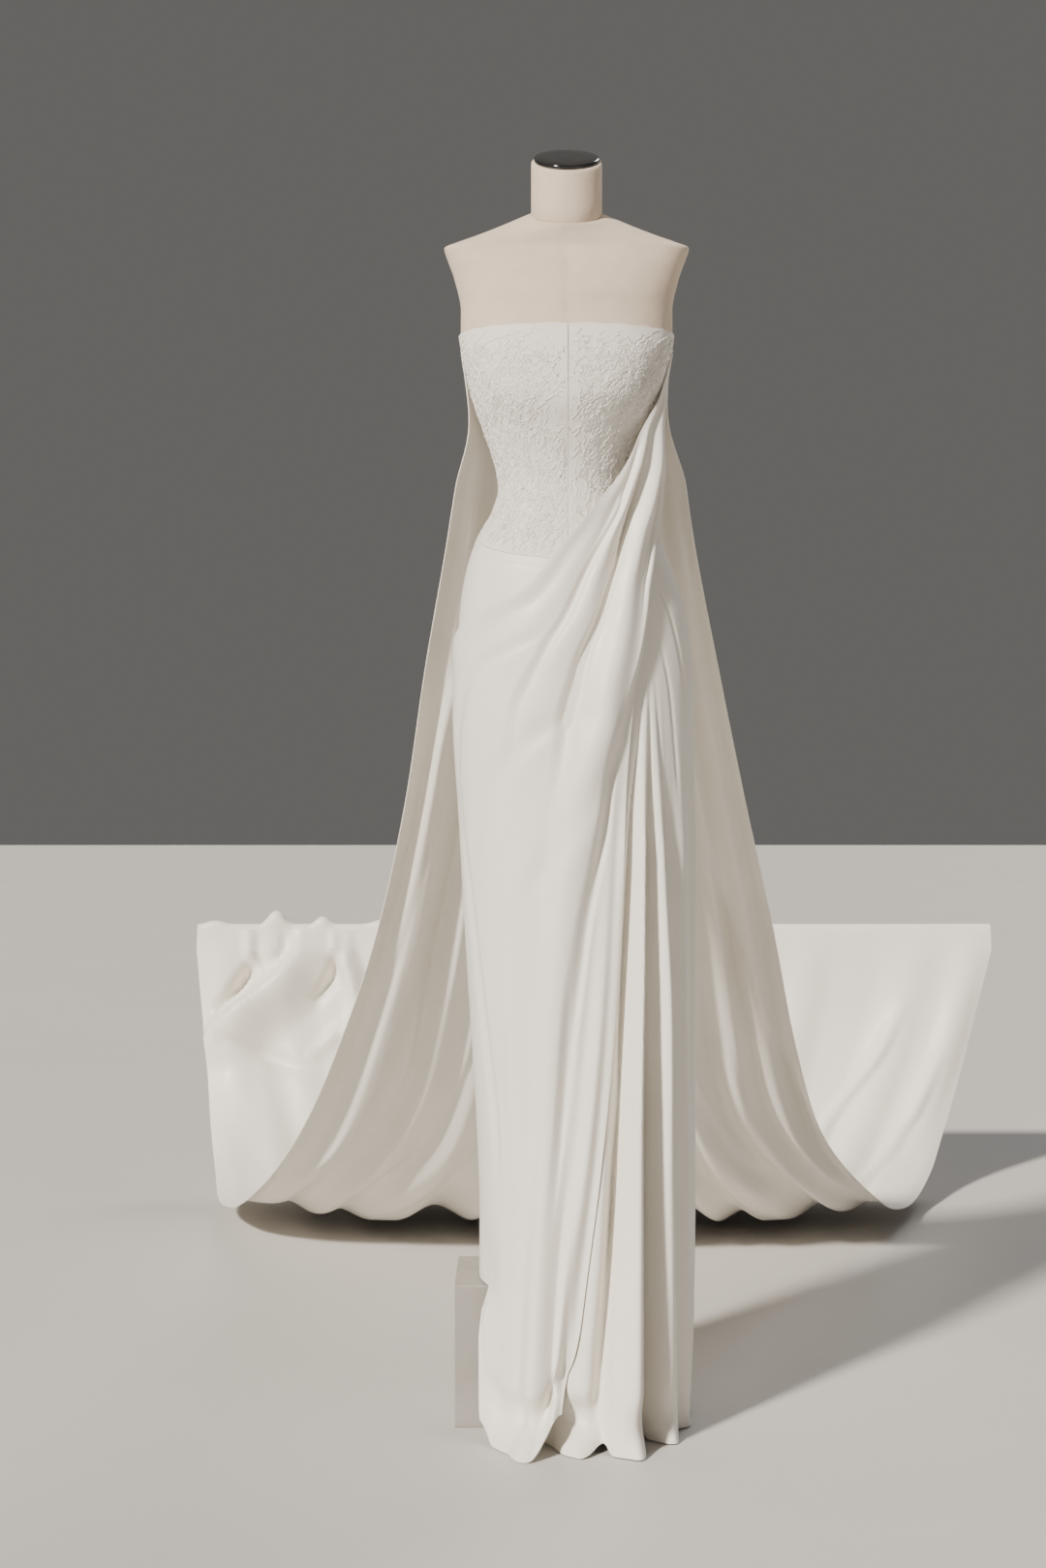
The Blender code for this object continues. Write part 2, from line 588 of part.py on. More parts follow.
def closed_loft(name, rings, material):
    """A solid through rings of equal count, closed at both ends by a flat fan."""
    builder = bmesh.new()
    loops = [[builder.verts.new(point) for point in ring] for ring in rings]
    count = len(rings[0])
    for low, high in zip(loops, loops[1:]):
        for j in range(count):
            k = (j + 1) % count
            builder.faces.new((low[j], low[k], high[k], high[j]))
    builder.faces.new(loops[0][::-1])
    builder.faces.new(loops[-1])
    bmesh.ops.triangulate(builder, faces=builder.faces)
    bmesh.ops.recalc_face_normals(builder, faces=builder.faces)
    return add_object(name, builder, material)


def form_torso(material, columns=34):
    """The form under the gown, inside the bodice's wall, and its bare shoulders above it."""
    angles = [360.0 * index / columns for index in range(columns)]
    rings = []
    for z in (FORM_BOTTOM_Z, 1.06, 1.14, 1.20, 1.25, 1.30, 1.335, 1.375, 1.41, 1.45, 1.50, 1.54, 1.575):
        rings.append([figure_point(angle, z, -FORM_CLEAR) for angle in angles])
    rings.append([figure_point(angle, NECKLINE_Z, -FORM_CLEAR_TOP) for angle in angles])
    for row in FORM:
        sizes = dict(zip(FORM_COLUMNS, row))
        sizes["left"] = sizes["right"] = sizes["half"]
        ring = []
        for angle in angles:
            x, y = ring_point(sizes, angle, 0.0)
            ring.append(Vector((x, y, sizes["z"])))
        rings.append(ring)
    return closed_loft("form_torso", rings, material)


def neck_height(angle):
    return NECK_TOP_Z - NECK_SLANT * math.cos(math.radians(angle))


def form_neck(material, columns=32):
    angles = [360.0 * index / columns for index in range(columns)]
    low, high = [], []
    for angle in angles:
        x = NECK_RADIUS * math.sin(math.radians(angle))
        y = -NECK_RADIUS * math.cos(math.radians(angle))
        low.append(Vector((x, y, FORM[-1][0] + GAP)))
        high.append(Vector((x, y, neck_height(angle))))
    return closed_loft("form_neck", [low, high], material)


def form_cap(material, columns=32):
    """The slanted disc on top of the neck."""
    radius = NECK_RADIUS - NECK_RIM
    angles = [360.0 * index / columns for index in range(columns)]
    tilt = NECK_SLANT / NECK_RADIUS
    low, high = [], []
    for angle in angles:
        x = radius * math.sin(math.radians(angle))
        y = -radius * math.cos(math.radians(angle))
        rest = NECK_TOP_Z + tilt * y + 1.2 * GAP
        low.append(Vector((x, y, rest)))
        high.append(Vector((x, y, rest + CAP_THICKNESS)))
    return closed_loft("form_cap", [low, high], material)


def turned(name, radius, low, high, material, columns=24, x=0.0, y=0.0):
    """A round post or disc that stands upright."""
    rings = []
    for z in (low, high):
        rings.append([
            Vector((x + radius * math.sin(turn), y - radius * math.cos(turn), z))
            for turn in (2.0 * math.pi * index / columns for index in range(columns))])
    return closed_loft(name, rings, material)


def rail(material, columns=16):
    rings = []
    for x in (RAIL_LEFT, RAIL_RIGHT):
        rings.append([
            Vector((x, RAIL_Y + RAIL_RADIUS * math.cos(turn), RAIL_Z + RAIL_RADIUS * math.sin(turn)))
            for turn in (2.0 * math.pi * index / columns for index in range(columns))])
    return closed_loft("train_rail", rings, material)


def board(name, low, high, edge, material):
    """A box with small bevelled edges."""
    builder = bmesh.new()
    bmesh.ops.create_cube(builder, size=1.0)
    for vertex in builder.verts:
        vertex.co = Vector([
            low[axis] if vertex.co[axis] < 0.0 else high[axis] for axis in range(3)])
    bmesh.ops.bevel(
        builder, geom=builder.edges[:], offset=edge, segments=1, affect="EDGES", profile=0.5)
    bmesh.ops.triangulate(builder, faces=builder.faces)
    bmesh.ops.recalc_face_normals(builder, faces=builder.faces)
    return add_object(name, builder, material, smooth=False)


def main():
    clear_scene()
    lace = surface("white_lace", (0.86, 0.85, 0.82), 0.62)
    crepe = surface("ivory_crepe", (0.84, 0.82, 0.78), 0.48)
    linen = surface("ecru_linen", (0.70, 0.62, 0.53), 0.85)
    black = surface("black_lacquer", (0.012, 0.011, 0.011), 0.15)
    steel = surface("brushed_steel", (0.55, 0.55, 0.55), 0.35, 1.0)
    painted = surface("painted_board", (0.36, 0.34, 0.31), 0.70)

    board("stand_box", (BOX_RIGHT_X, BOX_FRONT, 0.0), (BOX_LEFT_X, BOX_BACK, BOX_HEIGHT),
          BOX_EDGE, painted)
    flange_top = BOX_HEIGHT + GAP + FLANGE_HEIGHT
    turned("pole_flange", FLANGE_RADIUS, BOX_HEIGHT + GAP, flange_top, steel)
    turned("form_pole", POLE_RADIUS, flange_top + GAP, FORM_BOTTOM_Z - GAP, steel)
    form_torso(linen)
    form_neck(linen)
    form_cap(black)

    bodice_panel("bodice_front_right", -SIDE_SEAM, 0.0, 15, 9, lace)
    bodice_panel("bodice_front_left", 0.0, SIDE_SEAM, 15, 9, lace)
    bodice_panel("bodice_back_left", SIDE_SEAM, 180.0, 12, 8, lace)
    bodice_panel("bodice_back_right", 180.0, 360.0 - SIDE_SEAM, 12, 8, lace)

    seam = math.degrees(SEAM_GAP / 2.0 / 0.12)
    front_angles = steps(-SIDE_SEAM + seam, -60.0, 4) + steps(-57.0, -20.0, 4)
    front_angles += steps(-14.0, 58.0, 22) + steps(62.0, SIDE_SEAM - seam, 6)
    back_angles = steps(SIDE_SEAM + seam, 150.0, 9) + steps(156.0, 235.0, 14)
    back_angles += steps(242.0, 360.0 - SIDE_SEAM - seam, 3)
    skirt_panel("skirt_front", front_angles, 13, crepe)
    skirt_panel("skirt_back", back_angles, 12, crepe)
    front_drape(crepe)

    train_panel("train_right", TRAIN_FOLDS_RIGHT, False, crepe)
    train_panel("train_left", TRAIN_FOLDS_LEFT, True, crepe)

    rail(steel)
    for side, x in zip(("right", "left"), POST_XS):
        foot_top = FOOT_SIZE[2]
        turned("rail_post_" + side, POST_RADIUS, foot_top + GAP, RAIL_Z - RAIL_RADIUS - GAP,
               steel, 14, x, RAIL_Y)
        board("rail_foot_" + side,
              (x - FOOT_SIZE[0] / 2.0, RAIL_Y - FOOT_SIZE[1] / 2.0, 0.0),
              (x + FOOT_SIZE[0] / 2.0, RAIL_Y + FOOT_SIZE[1] / 2.0, foot_top), BOX_EDGE, steel)


main()
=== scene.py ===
"""Looks of the strapless sheath gown with a long train, on its limbless dress form.

Metres, +Z up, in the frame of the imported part. The front looks along -Y and the wearer's left is
+X. Angles run round the pole in degrees: 0 is the front, 90 the wearer's left, 180 the back.
"""

import math

import bpy
import numpy as np
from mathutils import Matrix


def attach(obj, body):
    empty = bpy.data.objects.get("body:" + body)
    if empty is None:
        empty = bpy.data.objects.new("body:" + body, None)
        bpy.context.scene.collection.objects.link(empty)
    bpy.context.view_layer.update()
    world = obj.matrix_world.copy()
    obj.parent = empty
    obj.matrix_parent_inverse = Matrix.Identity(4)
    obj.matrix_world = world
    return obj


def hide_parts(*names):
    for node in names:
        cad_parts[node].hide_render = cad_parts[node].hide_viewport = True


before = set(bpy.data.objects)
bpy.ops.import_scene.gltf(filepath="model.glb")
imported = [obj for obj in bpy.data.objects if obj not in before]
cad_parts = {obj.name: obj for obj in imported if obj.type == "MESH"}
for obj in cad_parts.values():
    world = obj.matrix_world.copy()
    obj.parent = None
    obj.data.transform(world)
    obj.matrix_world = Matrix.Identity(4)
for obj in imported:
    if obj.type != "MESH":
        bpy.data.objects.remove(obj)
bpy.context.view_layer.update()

BODY = "root"


def table(columns, *rows):
    """Rows with named columns; the first column is what the others are read at."""
    return [dict(zip(columns.split(), row)) for row in rows]


# Sizes repeated from the part's source
SEAM_GAP = 0.0004
WAIST_SEAM_GAP = 0.0006
FLOOR_CLEAR = 0.002
SKIRT_WALL = 0.0015
DRAPE_WALL = 0.0016
TRAIN_WALL = 0.0016
NECKLINE_Z = 1.602
SIDE_SEAM = 90.0
CUP_ANGLE = 38.0
CUP_SIDE_REACH = 36.0
CUP_Z = 1.528
CUP_UP_REACH = 0.085
CUP_HEIGHT = 0.006
BOX_RIGHT_X = -0.165
BOX_LEFT_X = 0.135
BOX_FRONT = -0.1
BOX_BACK = 0.1
BOX_HEIGHT = 0.206
HEM_OVER_BOX = BOX_HEIGHT + 0.003
HEM_SHIFT_TOP = 0.45
HEM_PLAN_Z = 0.18
SKIRT_BOX_MARGIN = 0.007
DRAPE_BOX_MARGIN = 0.019
FORM_BOTTOM_Z = 0.93
NECK_RADIUS = 0.053
NECK_TOP_Z = 1.866
NECK_SLANT = 0.028
NECK_RIM = 0.004
CAP_THICKNESS = 0.006
RAIL_Y = 1.948
RAIL_Z = 0.585
RAIL_RADIUS = 0.012
RAIL_LEFT = -0.8
RAIL_RIGHT = 1.03
GAP = 0.0003
FORM_CLEAR = 0.0056
FORM_CLEAR_TOP = 0.0027

FIGURE = table(
    "z left right front back corner",
    (0, 0.129, 0.172, 0.178, 0.15, 2.6),
    (0.15, 0.127, 0.178, 0.172, 0.147, 2.5),
    (0.295, 0.126, 0.182, 0.165, 0.144, 2.4),
    (0.44, 0.131, 0.184, 0.158, 0.142, 2.3),
    (0.585, 0.14, 0.186, 0.151, 0.14, 2.2),
    (0.73, 0.149, 0.188, 0.145, 0.139, 2.15),
    (0.875, 0.157, 0.19, 0.139, 0.139, 2.1),
    (1.06, 0.166, 0.19, 0.131, 0.139, 2.05),
    (1.18, 0.161, 0.18, 0.121, 0.131, 2),
    (1.24, 0.153, 0.163, 0.114, 0.119, 2),
    (1.3, 0.135, 0.138, 0.102, 0.101, 2),
    (1.34, 0.111, 0.112, 0.093, 0.088, 2),
    (1.375, 0.1015, 0.1025, 0.09, 0.084, 2),
    (1.41, 0.107, 0.108, 0.096, 0.088, 2.05),
    (1.45, 0.12, 0.121, 0.11, 0.097, 2.1),
    (1.5, 0.138, 0.139, 0.127, 0.106, 2.15),
    (1.55, 0.151, 0.151, 0.124, 0.106, 2.2),
    (1.602, 0.161, 0.161, 0.104, 0.1, 2.2),
    (1.65, 0.163, 0.165, 0.084, 0.094, 2.2),
)

DRAPE = table(
    "z left right front back corner",
    (0, 0.132, 0.19, 0.226, 0.16, 2.8),
    (0.15, 0.131, 0.19, 0.205, 0.158, 2.6),
    (0.295, 0.13, 0.19, 0.19, 0.156, 2.5),
    (0.44, 0.135, 0.191, 0.178, 0.152, 2.4),
    (0.585, 0.144, 0.193, 0.168, 0.148, 2.3),
    (0.73, 0.153, 0.195, 0.159, 0.146, 2.2),
    (0.875, 0.161, 0.197, 0.15, 0.146, 2.15),
    (1.06, 0.171, 0.196, 0.14, 0.146, 2.1),
    (1.18, 0.165, 0.186, 0.129, 0.138, 2.05),
    (1.24, 0.157, 0.174, 0.122, 0.126, 2),
    (1.3, 0.14, 0.16, 0.114, 0.112, 2),
    (1.375, 0.112, 0.156, 0.113, 0.098, 2),
    (1.45, 0.125, 0.161, 0.123, 0.104, 2.05),
    (1.5, 0.143, 0.163, 0.133, 0.112, 2.1),
    (1.55, 0.155, 0.164, 0.13, 0.112, 2.15),
    (1.602, 0.165, 0.166, 0.11, 0.106, 2.2),
)

FORM = table(
    "z half front back corner",
    (1.64, 0.158, 0.086, 0.092, 2.2),
    (1.69, 0.168, 0.07, 0.081, 2.3),
    (1.718, 0.178, 0.058, 0.07, 2.5),
    (1.733, 0.183, 0.051, 0.062, 2.6),
    (1.74, 0.166, 0.048, 0.059, 2.5),
    (1.75, 0.133, 0.047, 0.058, 2.3),
    (1.76, 0.1, 0.05, 0.058, 2.2),
    (1.769, 0.074, 0.054, 0.057, 2.05),
    (1.775, 0.058, 0.055, 0.055, 2),
)

SKIRT_FOLDS = table(
    "hip_angle hem_angle hip_width hem_width hip_height hem_height",
    (33, 2.5, 3.5, 15, 0.004, 0.046),
    (38, 17.5, 3.5, 14.5, 0.006, 0.082),
    (43, 44, 4, 14, 0.006, 0.032),
    (58, 66, 8, 13, 0.004, 0.018),
    (76, 88, 8, 13, 0.003, 0.014),
    (98, 112, 9, 14, 0.002, 0.018),
    (122, 136, 10, 14, 0.001, 0.012),
    (150, 158, 9, 13, 0.001, 0.01),
    (172, 182, 9, 13, 0.001, 0.011),
    (196, 207, 9, 12, 0.001, 0.008),
)
SKIRT_FOLD_TOP = 1.14
SKIRT_FOLD_TURN = 0.8
SKIRT_FOLD_SWELL = 1.6
SKIRT_FOLD_START = 6.0
SKIRT_ROW_POWER = 1.35

# Angle and height of the waist seam
WAIST_SEAM = (
    (-180, 1.33), (-90, 1.305), (-50, 1.278), (-20, 1.264), (0, 1.26),
    (20, 1.264), (50, 1.278), (90, 1.305), (180, 1.33))

DRAPE_CLEAR = 0.0009
DRAPE_SEWN_DROP = 0.47
DRAPE_SEWN_WIDTH = 0.08
DRAPE_SEWN_BLEND = 0.05
GATHER_DROP = 0.13
DRAPE_EDGES = table(
    "drop outer_angle outer_z crease_angle free_angle free_z",
    (0, 83, 1.575, 88, 88, 1.568),
    (0.04, 69, 1.515, 83, 83, 1.52),
    (0.09, 44, 1.448, 74, 74, 1.44),
    (0.15, 28, 1.382, 65, 65, 1.35),
    (0.21, 13, 1.334, 51.5, 51.5, 1.275),
    (0.26, -5, 1.275, 41, 41, 1.205),
    (0.31, -25, 1.214, 34, 34.5, 1.13),
    (0.37, -58, 1.178, 26, 27.5, 1.045),
    (0.43, -90, 1.12, 20.5, 24.5, 0.96),
    (0.5, -99, 0.99, 14.5, 22.5, 0.85),
    (0.58, -101, 0.83, 9, 20.5, 0.725),
    (0.68, -101, 0.62, 4, 16, 0.56),
    (0.78, -100, 0.43, 0, 10.5, 0.4),
    (0.88, -99, 0.24, -5, 4, 0.22),
    (1, -98, 0, -8, -2, 0),
)
FREE_FOLD_HEIGHT = 0.013
FREE_FOLD_GROWTH = 0.3

DRAPE_FOLDS = table(
    "top_across low_across top_width low_width height start peak end",
    (0.52, 0.9, 0.26, 0.11, 0.017, -0.1, 0.18, 1.4),
    (0.12, 0.66, 0.14, 0.11, 0.01, -0.02, 0.17, 0.5),
    (0, 0.36, 0.1, 0.15, 0.0035, 0.04, 0.2, 0.52),
    (0.92, 0.92, 0.13, 0.13, 0.018, 0.7, 1, 1.6),
)
DRAPE_FOLD_TOP = 0.08  # the folds move over the cloth between these drops
DRAPE_FOLD_LOW = 0.4
CORNER_LIFT = 0.055  # the hem's free corner curls up off the floor
CORNER_REACH = 0.12
CORNER_DROP = 0.9
FREE_TUCK = 0.06  # the free edge turns back to the skirt over this much across
FREE_TUCK_SHARE = 0.75
FREE_TUCK_CLEAR = 0.0045
FREE_TUCK_BLEND = 0.1

TRAIN = table(
    "run y z left right forward lift fold",
    (0, 0.114, 1.585, -0.148, 0.152, 0.088, -0.005, 0.0015),
    (0.05, 0.128, 1.48, -0.155, 0.17, 0.082, 0, 0.0035),
    (0.13, 0.17, 1.33, -0.178, 0.194, 0.075, 0, 0.008),
    (0.23, 0.265, 1.12, -0.22, 0.245, 0.055, 0, 0.015),
    (0.33, 0.385, 0.905, -0.259, 0.302, 0.04, 0, 0.021),
    (0.43, 0.53, 0.672, -0.318, 0.368, 0.03, 0, 0.027),
    (0.52, 0.69, 0.46, -0.395, 0.425, 0.02, 0.004, 0.032),
    (0.6, 0.86, 0.262, -0.485, 0.498, 0, 0.01, 0.034),
    (0.67, 1.03, 0.112, -0.585, 0.612, -0.01, 0.014, 0.033),
    (0.73, 1.21, 0.032, -0.665, 0.705, -0.02, 0.016, 0.03),
    (0.79, 1.42, 0.008, -0.722, 0.78, -0.02, 0.02, 0.026),
    (0.84, 1.61, 0.036, -0.752, 0.845, 0, 0.022, 0.024),
    (0.885, 1.76, 0.125, -0.783, 0.905, 0, 0.012, 0.022),
    (0.92, 1.86, 0.265, -0.806, 0.965, 0, 0.004, 0.019),
    (0.95, 1.912, 0.42, -0.828, 1.015, 0, 0, 0.013),
    (0.972, 1.93, 0.54, -0.842, 1.05, 0, 0, 0.006),
)
TRAIN_SEAM = 0.02
TRAIN_SEAM_END = 0.1
TRAIN_TAIL = 0.075
TRAIN_CLEAR = 0.0008
TRAIN_LEAN = 0.15
TRAIN_SEWN_RUN = 0.1
TRAIN_EDGE_ANGLE = 101.0
TRAIN_FOLD_BLEND = 0.12
TRAIN_FLOOR_RUN = 0.54  # the folds turn outward over the floor, from here on
TRAIN_FLOOR_REACH = 0.2
TRAIN_RISE_RUN = 0.84  # and once more where the cloth rises to the rail
TRAIN_RISE_REACH = 0.12
TRAIN_FOLD_COLUMNS = "across reach height start drift"
TRAIN_FOLDS_RIGHT = table(
    TRAIN_FOLD_COLUMNS,
    (0.07, 0.093, 0.95, 0.02, 0.02),
    (0.29, 0.105, 1.1, 0, 0.13),
    (0.47, 0.083, 0.7, 0.16, 0.17),
    (0.67, 0.117, 1.15, 0.02, 0.11),
    (0.88, 0.093, 0.8, 0.1, 0.15),
)
TRAIN_FOLDS_LEFT = table(
    TRAIN_FOLD_COLUMNS,
    (0.055, 0.075, 0.8, 0.04, 0.01),
    (0.22, 0.083, 0.95, 0, 0.1),
    (0.42, 0.113, 1.15, 0.06, 0.16),
    (0.64, 0.083, 0.75, 0.14, 0.12),
    (0.86, 0.105, 1.05, 0, 0.17),
)

# Measures that only the looks have
BODICE_WALL = 0.0018  # a little thinner than the solid's
BODICE_RADIUS = 0.12  # turns lengths round the bodice into angles
LACE_RADIUS = 0.125  # and those of the lace
SEAM_TURN = math.degrees(SEAM_GAP / 2.0 / BODICE_RADIUS)
LACE_LOW_Z = 1.262
LACE_TOP_DROP = 0.006
LACE_MARGIN = 0.6
CORD_SIDES = 4
FLORET_BEND = 0.28
FORM_SEAM_DEPTH = 0.0009
SHOULDER_ROW = 3  # the widest row of FORM
NECK_SEAM_SLANT = 0.024  # the seam round the neck lies lower at the front
NECK_SEAM_LIFT = 0.009
NECK_SEAM_FROM = 1.715
NECK_SOFTENING = 0.0035  # the chest runs into the neck's front on a curve
BANDS_PER_SCALE = 20.0  # Blender's band texture has this many bands for a scale of pi
LINE_FADE = 0.28  # a line swells and fades over this part of its way

# Finer relief. Each line is (height, reach before it, reach after it, and its corners); a height below 0
# is a crease. Corners are (z, angle) on the skirt, (drop, across) on the drape and (run, x) on the train.
SKIRT_LINES = (
    (-0.02, 5.5, 3.2, (-0.12, 8.5), (0.1, 10), (0.25, 14), (0.52, 19.5)),
    (-0.02, 3, 2.8, (-0.2, 29.8), (0.1, 30.2), (0.3, 31), (0.6, 34.5)),
    (0.007, 4.5, 4.5, (-0.12, 20), (0.1, 21), (0.38, 24), (0.67, 28.5), (0.9, 32.4)),
    (0.019, 5.6, 9, (-0.3, 36.8), (0.1, 37.2), (0.38, 38.6), (0.67, 40.6), (0.9, 41)),
    (-0.006, 2, 1.4, (0.1, 8), (0.38, 17.5), (0.67, 22.5), (0.88, 27), (0.98, 31), (1.13, 37)),
    (-0.007, 1.7, 1.7, (0.05, 33), (0.38, 32), (0.67, 35.5), (0.88, 36.5), (0.98, 37.3), (1.13, 38.4)),
    (-0.006, 1.6, 2.6, (0.05, 56), (0.38, 47), (0.67, 47.5), (0.88, 45.6), (0.98, 43.5), (1.13, 40.6)),
    (0.005, 3.6, 3.8, (0.3, 22), (0.67, 28.5), (0.88, 32), (0.98, 34.3), (1.12, 37.7)),
    (0.005, 3.8, 3.8, (0.3, 40), (0.67, 41.3), (0.88, 41), (0.98, 40.3), (1.12, 39.4)),
    (-0.0022, 1.6, 3, (1.02, 66), (1.09, 63.5), (1.145, 60), (1.2, 54.6), (1.24, 46)),
    (-0.0018, 1.6, 2.6, (0.9, 57), (1, 54), (1.1, 49.5), (1.17, 43)),
    (-0.003, 2, 3, (0.05, 76), (0.3, 72), (0.6, 68), (0.9, 63)),
)
DRAPE_LINES = (
    (-0.0066, 0.06, 0.032, (0.08, 0.05), (0.15, 0.16), (0.2, 0.3), (0.28, 0.37), (0.33, 0.46),
     (0.38, 0.54), (0.43, 0.57), (0.5, 0.56)),
    (-0.0125, 0.065, 0.034, (0.03, 0.18), (0.09, 0.24), (0.14, 0.33), (0.21, 0.5), (0.25, 0.58),
     (0.3, 0.62), (0.33, 0.66), (0.38, 0.74), (0.45, 0.79), (0.52, 0.79)),
    (-0.0075, 0.04, 0.022, (0.34, 0.965), (0.39, 0.95), (0.44, 0.94), (0.49, 0.93), (0.54, 0.905),
     (0.59, 0.88), (0.68, 0.865), (0.76, 0.87), (0.86, 0.86)),
    (0.009, 0.2, 0.036, (0.1, 0.88), (0.22, 0.93), (0.3, 0.95), (0.38, 0.945), (0.46, 0.91),
     (0.56, 0.86)),
    (0.006, 0.02, 0.17, (0.13, 0), (0.22, 0), (0.3, 0), (0.38, 0), (0.46, 0)),
    (-0.0035, 0.08, 0.06, (0.41, 0.95), (0.45, 0.91), (0.5, 0.83), (0.55, 0.73), (0.585, 0.6)),
    (-0.003, 0.03, 0.03, (0.03, 0.72), (0.12, 0.8), (0.2, 0.86), (0.3, 0.93)),
    (-0.004, 0.07, 0.05, (0.5, 0.2), (0.62, 0.32), (0.74, 0.45), (0.84, 0.52)),
    (-0.004, 0.1, 0.06, (0.38, 0.84), (0.42, 0.72), (0.47, 0.56), (0.52, 0.42), (0.58, 0.32)),
    (-0.0036, 0.09, 0.06, (0.33, 0.4), (0.38, 0.34), (0.43, 0.26), (0.49, 0.2), (0.55, 0.16)),
    (0.003, 0.1, 0.09, (0.5, 0.66), (0.6, 0.58), (0.7, 0.6), (0.8, 0.66), (0.92, 0.7)),
)
TRAIN_LINES_RIGHT = (
    (0.015, 0.018, 0.075, (0.1, -0.1), (0.36, -0.172), (0.455, -0.224), (0.54, -0.257), (0.615, -0.343),
     (0.66, -0.463), (0.72, -0.56)),
    (0.012, 0.016, 0.06, (0.3, -0.075), (0.53, -0.152), (0.575, -0.192), (0.615, -0.245), (0.66, -0.349),
     (0.7, -0.45), (0.74, -0.5)),
    (0.009, 0.014, 0.04, (0.46, -0.27), (0.56, -0.33), (0.62, -0.41), (0.67, -0.52), (0.7, -0.57)),
    (0.01, 0.014, 0.045, (0.5, -0.02), (0.58, -0.08), (0.63, -0.15), (0.68, -0.27), (0.73, -0.37)),
    (-0.01, 0.02, 0.02, (0.12, -0.12), (0.3, -0.205), (0.44, -0.29), (0.55, -0.395)),
    (0.012, 0.03, 0.06, (0.86, -0.15), (0.9, -0.21), (0.94, -0.24), (0.972, -0.3)),
)
# The crumple in front of the rail: (height, reach above, reach below, and its corners in x and z)
CRUMPLES = (
    (0.042, 0.026, 0.13, (-0.8, 0.345), (-0.765, 0.378), (-0.7, 0.425), (-0.64, 0.482), (-0.575, 0.56)),
    (0.024, 0.022, 0.05, (-0.478, 0.335), (-0.462, 0.41), (-0.48, 0.48), (-0.52, 0.56)),
    (0.012, 0.026, 0.026, (-0.69, 0.52), (-0.655, 0.545), (-0.64, 0.58)),
    (0.01, 0.024, 0.03, (-0.56, 0.3), (-0.5, 0.35), (-0.455, 0.36)),
    (0.01, 0.022, 0.034, (-0.395, 0.5), (-0.42, 0.44), (-0.41, 0.38)),
    (0.008, 0.02, 0.02, (-0.3, 0.56), (-0.325, 0.48), (-0.32, 0.4)),
    (-0.024, 0.03, 0.034, (-0.775, 0.4), (-0.735, 0.455), (-0.69, 0.52)),
    (-0.016, 0.024, 0.024, (-0.555, 0.42), (-0.52, 0.47), (-0.5, 0.54)),
    (-0.014, 0.03, 0.026, (-0.77, 0.318), (-0.69, 0.3), (-0.6, 0.262), (-0.54, 0.25)),
    (0.012, 0.022, 0.02, (-0.73, 0.56), (-0.7, 0.5), (-0.69, 0.465)),
)
HALF_FACET = 22.5  # of the solid's turn over the rail
CRUMPLE_SWELL = 1.5
CRUMPLE_LOW = 0.2  # it fades out from this height of the cloth's rise down
RAIL_PUFFS = ((-0.655, 0.04, 0.016), (-0.545, 0.03, 0.009), (-0.8, 0.04, 0.004), (-0.4, 0.05, 0.005))
TRAIN_LINES_LEFT = (
    (0.014, 0.08, 0.018, (0.12, 0.12), (0.36, 0.236), (0.43, 0.294), (0.5, 0.357), (0.54, 0.408),
     (0.59, 0.469), (0.63, 0.54)),
    (0.012, 0.03, 0.028, (0.3, 0.2), (0.46, 0.276), (0.52, 0.309), (0.575, 0.364), (0.605, 0.388),
     (0.645, 0.456), (0.68, 0.529), (0.72, 0.62)),
    (0.011, 0.028, 0.022, (0.5, 0.2), (0.575, 0.266), (0.605, 0.302), (0.635, 0.351), (0.665, 0.424),
     (0.7, 0.51)),
    (0.01, 0.024, 0.024, (0.52, 0.13), (0.6, 0.19), (0.65, 0.28), (0.7, 0.39), (0.74, 0.48)),
    (0.015, 0.03, 0.03, (0.82, 0.56), (0.885, 0.625), (0.925, 0.765), (0.955, 0.85)),
    (0.015, 0.03, 0.03, (0.79, 0.64), (0.84, 0.716), (0.9, 0.85), (0.935, 0.93)),
    (0.012, 0.04, 0.03, (0.84, 0.3), (0.9, 0.38), (0.95, 0.45), (0.972, 0.47)),
)
HEM_TURN = 0.014  # the hem comes down beside the box over this much of its way
HEM_BAND = 0.009  # narrow turned hem
HEM_RISE = 0.0006
HEM_STEP = 0.0015
SEAM_LINE_DROP = 0.014  # the second faint line under the waist seam
SCALLOP_HEIGHT = 0.0016
LIP_OUT = 0.03  # the hem curls outward on the crests of the cones
LIP_HEIGHT = 0.034
LIP_DIP = 0.02  # and the cloth leans in above the curl
LIP_DIP_AT = 0.046
LIP_DIP_REACH = 0.04
LIP_ACROSS = (0.88, 0.5, 0.3)
LIP_CONES = ((21, 7, 7, 0.4), (38, 7, 9, 0.3), (2, 7, 7, 0.95))
LIP_TIP_ANGLE = 2.0  # this cone's hem ends in a tip
LIP_LIFTS = ((9.6, 7.5, 1.7, 0.012), (30, 4, 3, 0.03))
LIFT_HEIGHT = 0.16
SIDE_FLARE = 0.016  # the drape's side edge stands out beside the box
SIDE_FLARE_ACROSS = (0.36, 0.16, 0.2)
SIDE_LIFT = 0.032  # and its hem is lifted there
SIDE_LIFT_ACROSS = (0.4, 0.12, 0.22)


